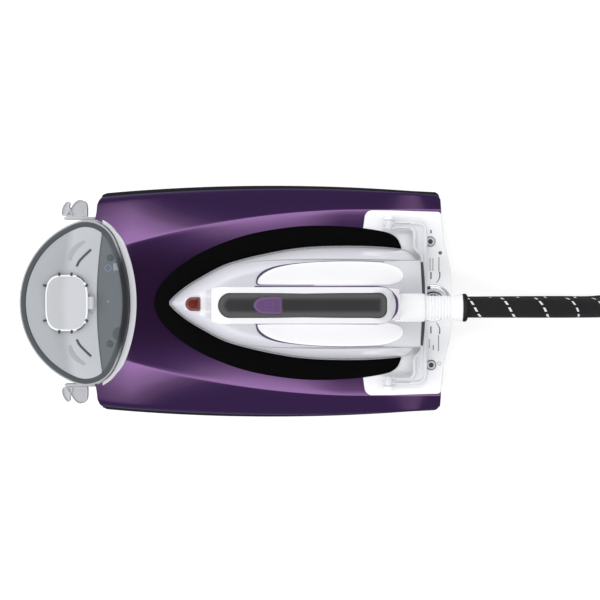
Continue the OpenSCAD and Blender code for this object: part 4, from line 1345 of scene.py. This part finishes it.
# %% What shows through the window
bm = bmesh.new()
for x, y, r in ((-128.7, 46.1, 3.6), (-129.2, -42, 3.6), (-119.5, -31.8, 6.8)):
    lathe(bm, [(119.0, 0), (119.0, r - 0.4), (119.3, r), (119.6, r - 0.5), (119.65, 0)],
          (x, y, 0), steps=32)
make("window_bosses", bm, "tank", boss_grey, slot="smoky_dark")
turned("float_ring", "tank", float_blue, [
    (119, 2.6), (119.4, 2.6), (119.7, 3.1), (119.7, 3.7), (119.3, 4), (119, 4)], (-130.7, 35.9, 0),
    steps=32, slot="smoky_dark")
bm = bmesh.new()
block(bm, (-121.7, 37, 119.2), (7.8, 7.6, 0.6))
lathe(bm, [(119, 0), (119, 1.2), (119.4, 1.2), (119.6, 0.8), (119.6, 0)], (-131, 1.5, 0), steps=16)
round_off(bm, sharp_edges(bm, 60), 0.2, 2)
make("float_guide", bm, "tank", float_pale, slot="smoky_dark")

# %% [markdown]
# The cradle is the pale wall that the tank slides down against. Only its rounded top edge shows
# between the tank and the shell.

# %% The cradle
WALL_END = -138
cradle_low, cradle_high = box_mm("tank_cradle")
collar_white = plastic("collar_white", (0.68, 0.69, 0.71), 0.35, 0.02)


def wall_arc(gap):
    """The back of the tank's plan at a distance outside its wall, from right to left."""
    x, y = TIP
    turn = math.degrees(math.acos((WALL_END - x) / (TIP_R + gap)))
    return (arc(x, -y, TIP_R + gap, 360 - turn, 360 - TIP_REAR, 8)
            + arc(TANK_REAR_MID, 0, REAR_R + gap, -TIP_REAR + 1, TIP_REAR - 1, 40)
            + arc(x, y, TIP_R + gap, TIP_REAR, turn, 8))


bm = bmesh.new()
plate(bm, wall_arc(0.9) + wall_arc(4.4)[::-1], cradle_low.z, cradle_high.z)
round_off(bm, [e for e in sharp_edges(bm, 60) if min(v.co.z for v in e.verts) > 100], 1.3, 3)
make("cradle_wall", bm, "station", collar_white, ["tank_cradle"], "light_grey")
bm = bmesh.new()
flange = wall_arc(0.8) + [(bay_x(y) + 0.5, y) for y in range(80, -81, -4)]
round_off(bm, list(plate(bm, flange, 105, 110.4).edges), 1.2, 3)
make("cradle_lip", bm, "station", collar_white, slot="light_grey")
bm = bmesh.new()
plate(bm, tank_plan(-5.8), 11, 13.8)
hole = bmesh.new()
lathe(hole, [(9, 0), (9, 9), (16, 9), (16, 0)], (-125, 0, 0))
bm = carve(bm, hole)
make("cradle_floor", bm, "station", collar_white, slot="light_grey")

# %% [markdown]
# The clips for the wound hose are two fins on an arm, one pair on each side of the tank. The fins
# are plates whose tops are hollowed a little.

# %% The hose clips
clip_white = plastic("clip_white", (0.56, 0.565, 0.585), 0.35, Coat_Weight=0.3)
big_fin = [(-181.4, 90), (-177, 97), (-173, 103.4), (-169, 107), (-165, 107.5), (-161, 106),
           (-159, 102), (-158.6, 96), (-158.8, 90)]
small_fin = [(-185, 91), (-185.6, 95), (-184, 101), (-180.8, 105.2), (-178.4, 105.6), (-177.2, 104),
             (-177.6, 100), (-175, 94), (-174, 90)]
for name, side in (("left", 1), ("right", -1)):
    bm = bmesh.new()
    for fin in (big_fin, small_fin):
        outline = [(x, side * y) for x, y in flowing(fin)]
        top = plate(bm, outline, 46.2, 57.8)
        bmesh.ops.inset_region(bm, faces=[top], thickness=1.8, use_even_offset=True)
        bmesh.ops.translate(bm, vec=(0, 0, -1.6), verts=top.verts)
    block(bm, (-166.25, side * 88.1, 52), (32.5, 2.6, 19.6))
    bmesh.ops.recalc_face_normals(bm, faces=bm.faces)
    round_off(bm, sharp_edges(bm, 40), 0.8, 3)
    make("clip_" + name, bm, "station", clip_white, ["hose_clip_" + name], "light_grey")

# %% [markdown]
# The back of the base has a dark panel with a row of vents, the gland of the steam hose and the
# inlet for the mains lead. The panel is a rounded plate that stands upright, and the vents are
# slots cut a little way into it. The gland and the inlet are turned.

# %% The rear panel and the glands
PANEL_FRONT, PANEL_REAR = SHELL_REAR - 1.5, SHELL_REAR + REAR_LEAN + 0.4
VENTS = 13
VENT_START = -62
VENT_PITCH = 4.4
panel_low, panel_high = box_mm("rear_panel")
panel_dark = plastic("panel_dark", (0.016, 0.016, 0.018), 0.5, strength=0.3)


def upright(bm, y0, y1, z0, z1, r, front, rear):
    """A plate with round corners that stands across the object."""
    outline = (arc(y1 - r, z1 - r, r, 0, 90, 6) + arc(y0 + r, z1 - r, r, 90, 180, 6)
               + arc(y0 + r, z0 + r, r, 180, 270, 6) + arc(y1 - r, z0 + r, r, 270, 360, 6))
    slab(bm, [(front, y, z) for y, z in outline], (rear - front, 0, 0))


bm = bmesh.new()
upright(bm, panel_low.y, panel_high.y, panel_low.z, panel_high.z, 6, PANEL_FRONT, PANEL_REAR)
round_off(bm, [e for e in sharp_edges(bm, 60) if e.verts[0].co.x > PANEL_REAR - 0.1], 0.8, 3)
vents = bmesh.new()
for i in range(VENTS):
    y = VENT_START + VENT_PITCH * i
    upright(vents, y, y + VENT_PITCH / 2, 68, 86, 1, PANEL_REAR - 1.6, PANEL_REAR + 1)
bm = carve(bm, vents)
make("rear_panel_dark", bm, "station", panel_dark, ["rear_panel"], "dark_plastic", sharp=40)

turned("hose_gland_dark", "station", panel_dark, [
    (200, 0), (200, 11), (PANEL_REAR - 0.4, 11), (PANEL_REAR - 0.4, 15.4), (PANEL_REAR + 0.8, 16),
    (216.4, 15.2), (216.6, 12.6), (216.8, 12), (217.4, 12), (217.8, 11.5), (218.4, 11.9),
    (219.4, 11.6), (220, 10.6), (220, 0)], (0, -4.5, 46), (1, 0, 0), 48, hides=["hose_gland"],
    slot="dark_plastic", sharp=40)
turned("mains_inlet_dark", "station", panel_dark, [
    (202, 0), (202, 8.4), (PANEL_REAR - 0.4, 8.4), (PANEL_REAR - 0.4, 10), (216, 10), (216.6, 9.2),
    (219.2, 8.6), (220, 7.8), (220, 5.2), (212, 4.9), (212, 0)], (0, 45, 66), (1, 0, 0), 40,
    hides=["mains_gland"], slot="dark_plastic", sharp=40)

# %% [markdown]
# The parts inside, the feet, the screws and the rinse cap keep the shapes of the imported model,
# which are right as they are. Each of their finishes is made once here and handed out by the kind
# of material the part is made of. Turned and drawn metal has fine lines, so its colour and
# roughness follow a stretched noise.

# %% Finishes of the working parts


def metal(name, colour, roughness, stretch):
    """Worked metal with fine tool lines across one direction."""
    material, tree, main = shader(name, colour, roughness, Metallic=1.0)
    lines = noise(tree, 60, 4, stretch)
    tones(tree, main, lines, [c * 0.86 for c in colour], colour)
    uneven = calc(tree, "MULTIPLY_ADD", lines, 0.16, roughness - 0.08)
    tree.links.new(uneven, main.inputs["Roughness"])
    return material


working_finishes = {
    "steel": metal("drawn_steel", (0.56, 0.565, 0.57), 0.32, (1, 14, 14)),
    "brass": metal("turned_brass", (0.72, 0.52, 0.24), 0.3, (10, 10, 1)),
    "aluminium": metal("cast_aluminium", (0.6, 0.61, 0.62), 0.45, (3, 3, 3)),
    "rubber": plastic("foot_rubber", (0.02, 0.02, 0.02), 0.8, strength=0.3),
    "dark_plastic": panel_dark,
    "light_grey": light_grey,
    "board_green": plastic("board_green_lacquer", (0.02, 0.12, 0.05), 0.3, 0.12, Coat_Weight=0.5),
}
for name, node in nodes.items():
    for slot in node.material_slots:
        kind = slot.material.name if slot.material else ""
        if kind in working_finishes:
            slot.material = working_finishes[kind]
            print(name, "is finished as", kind)
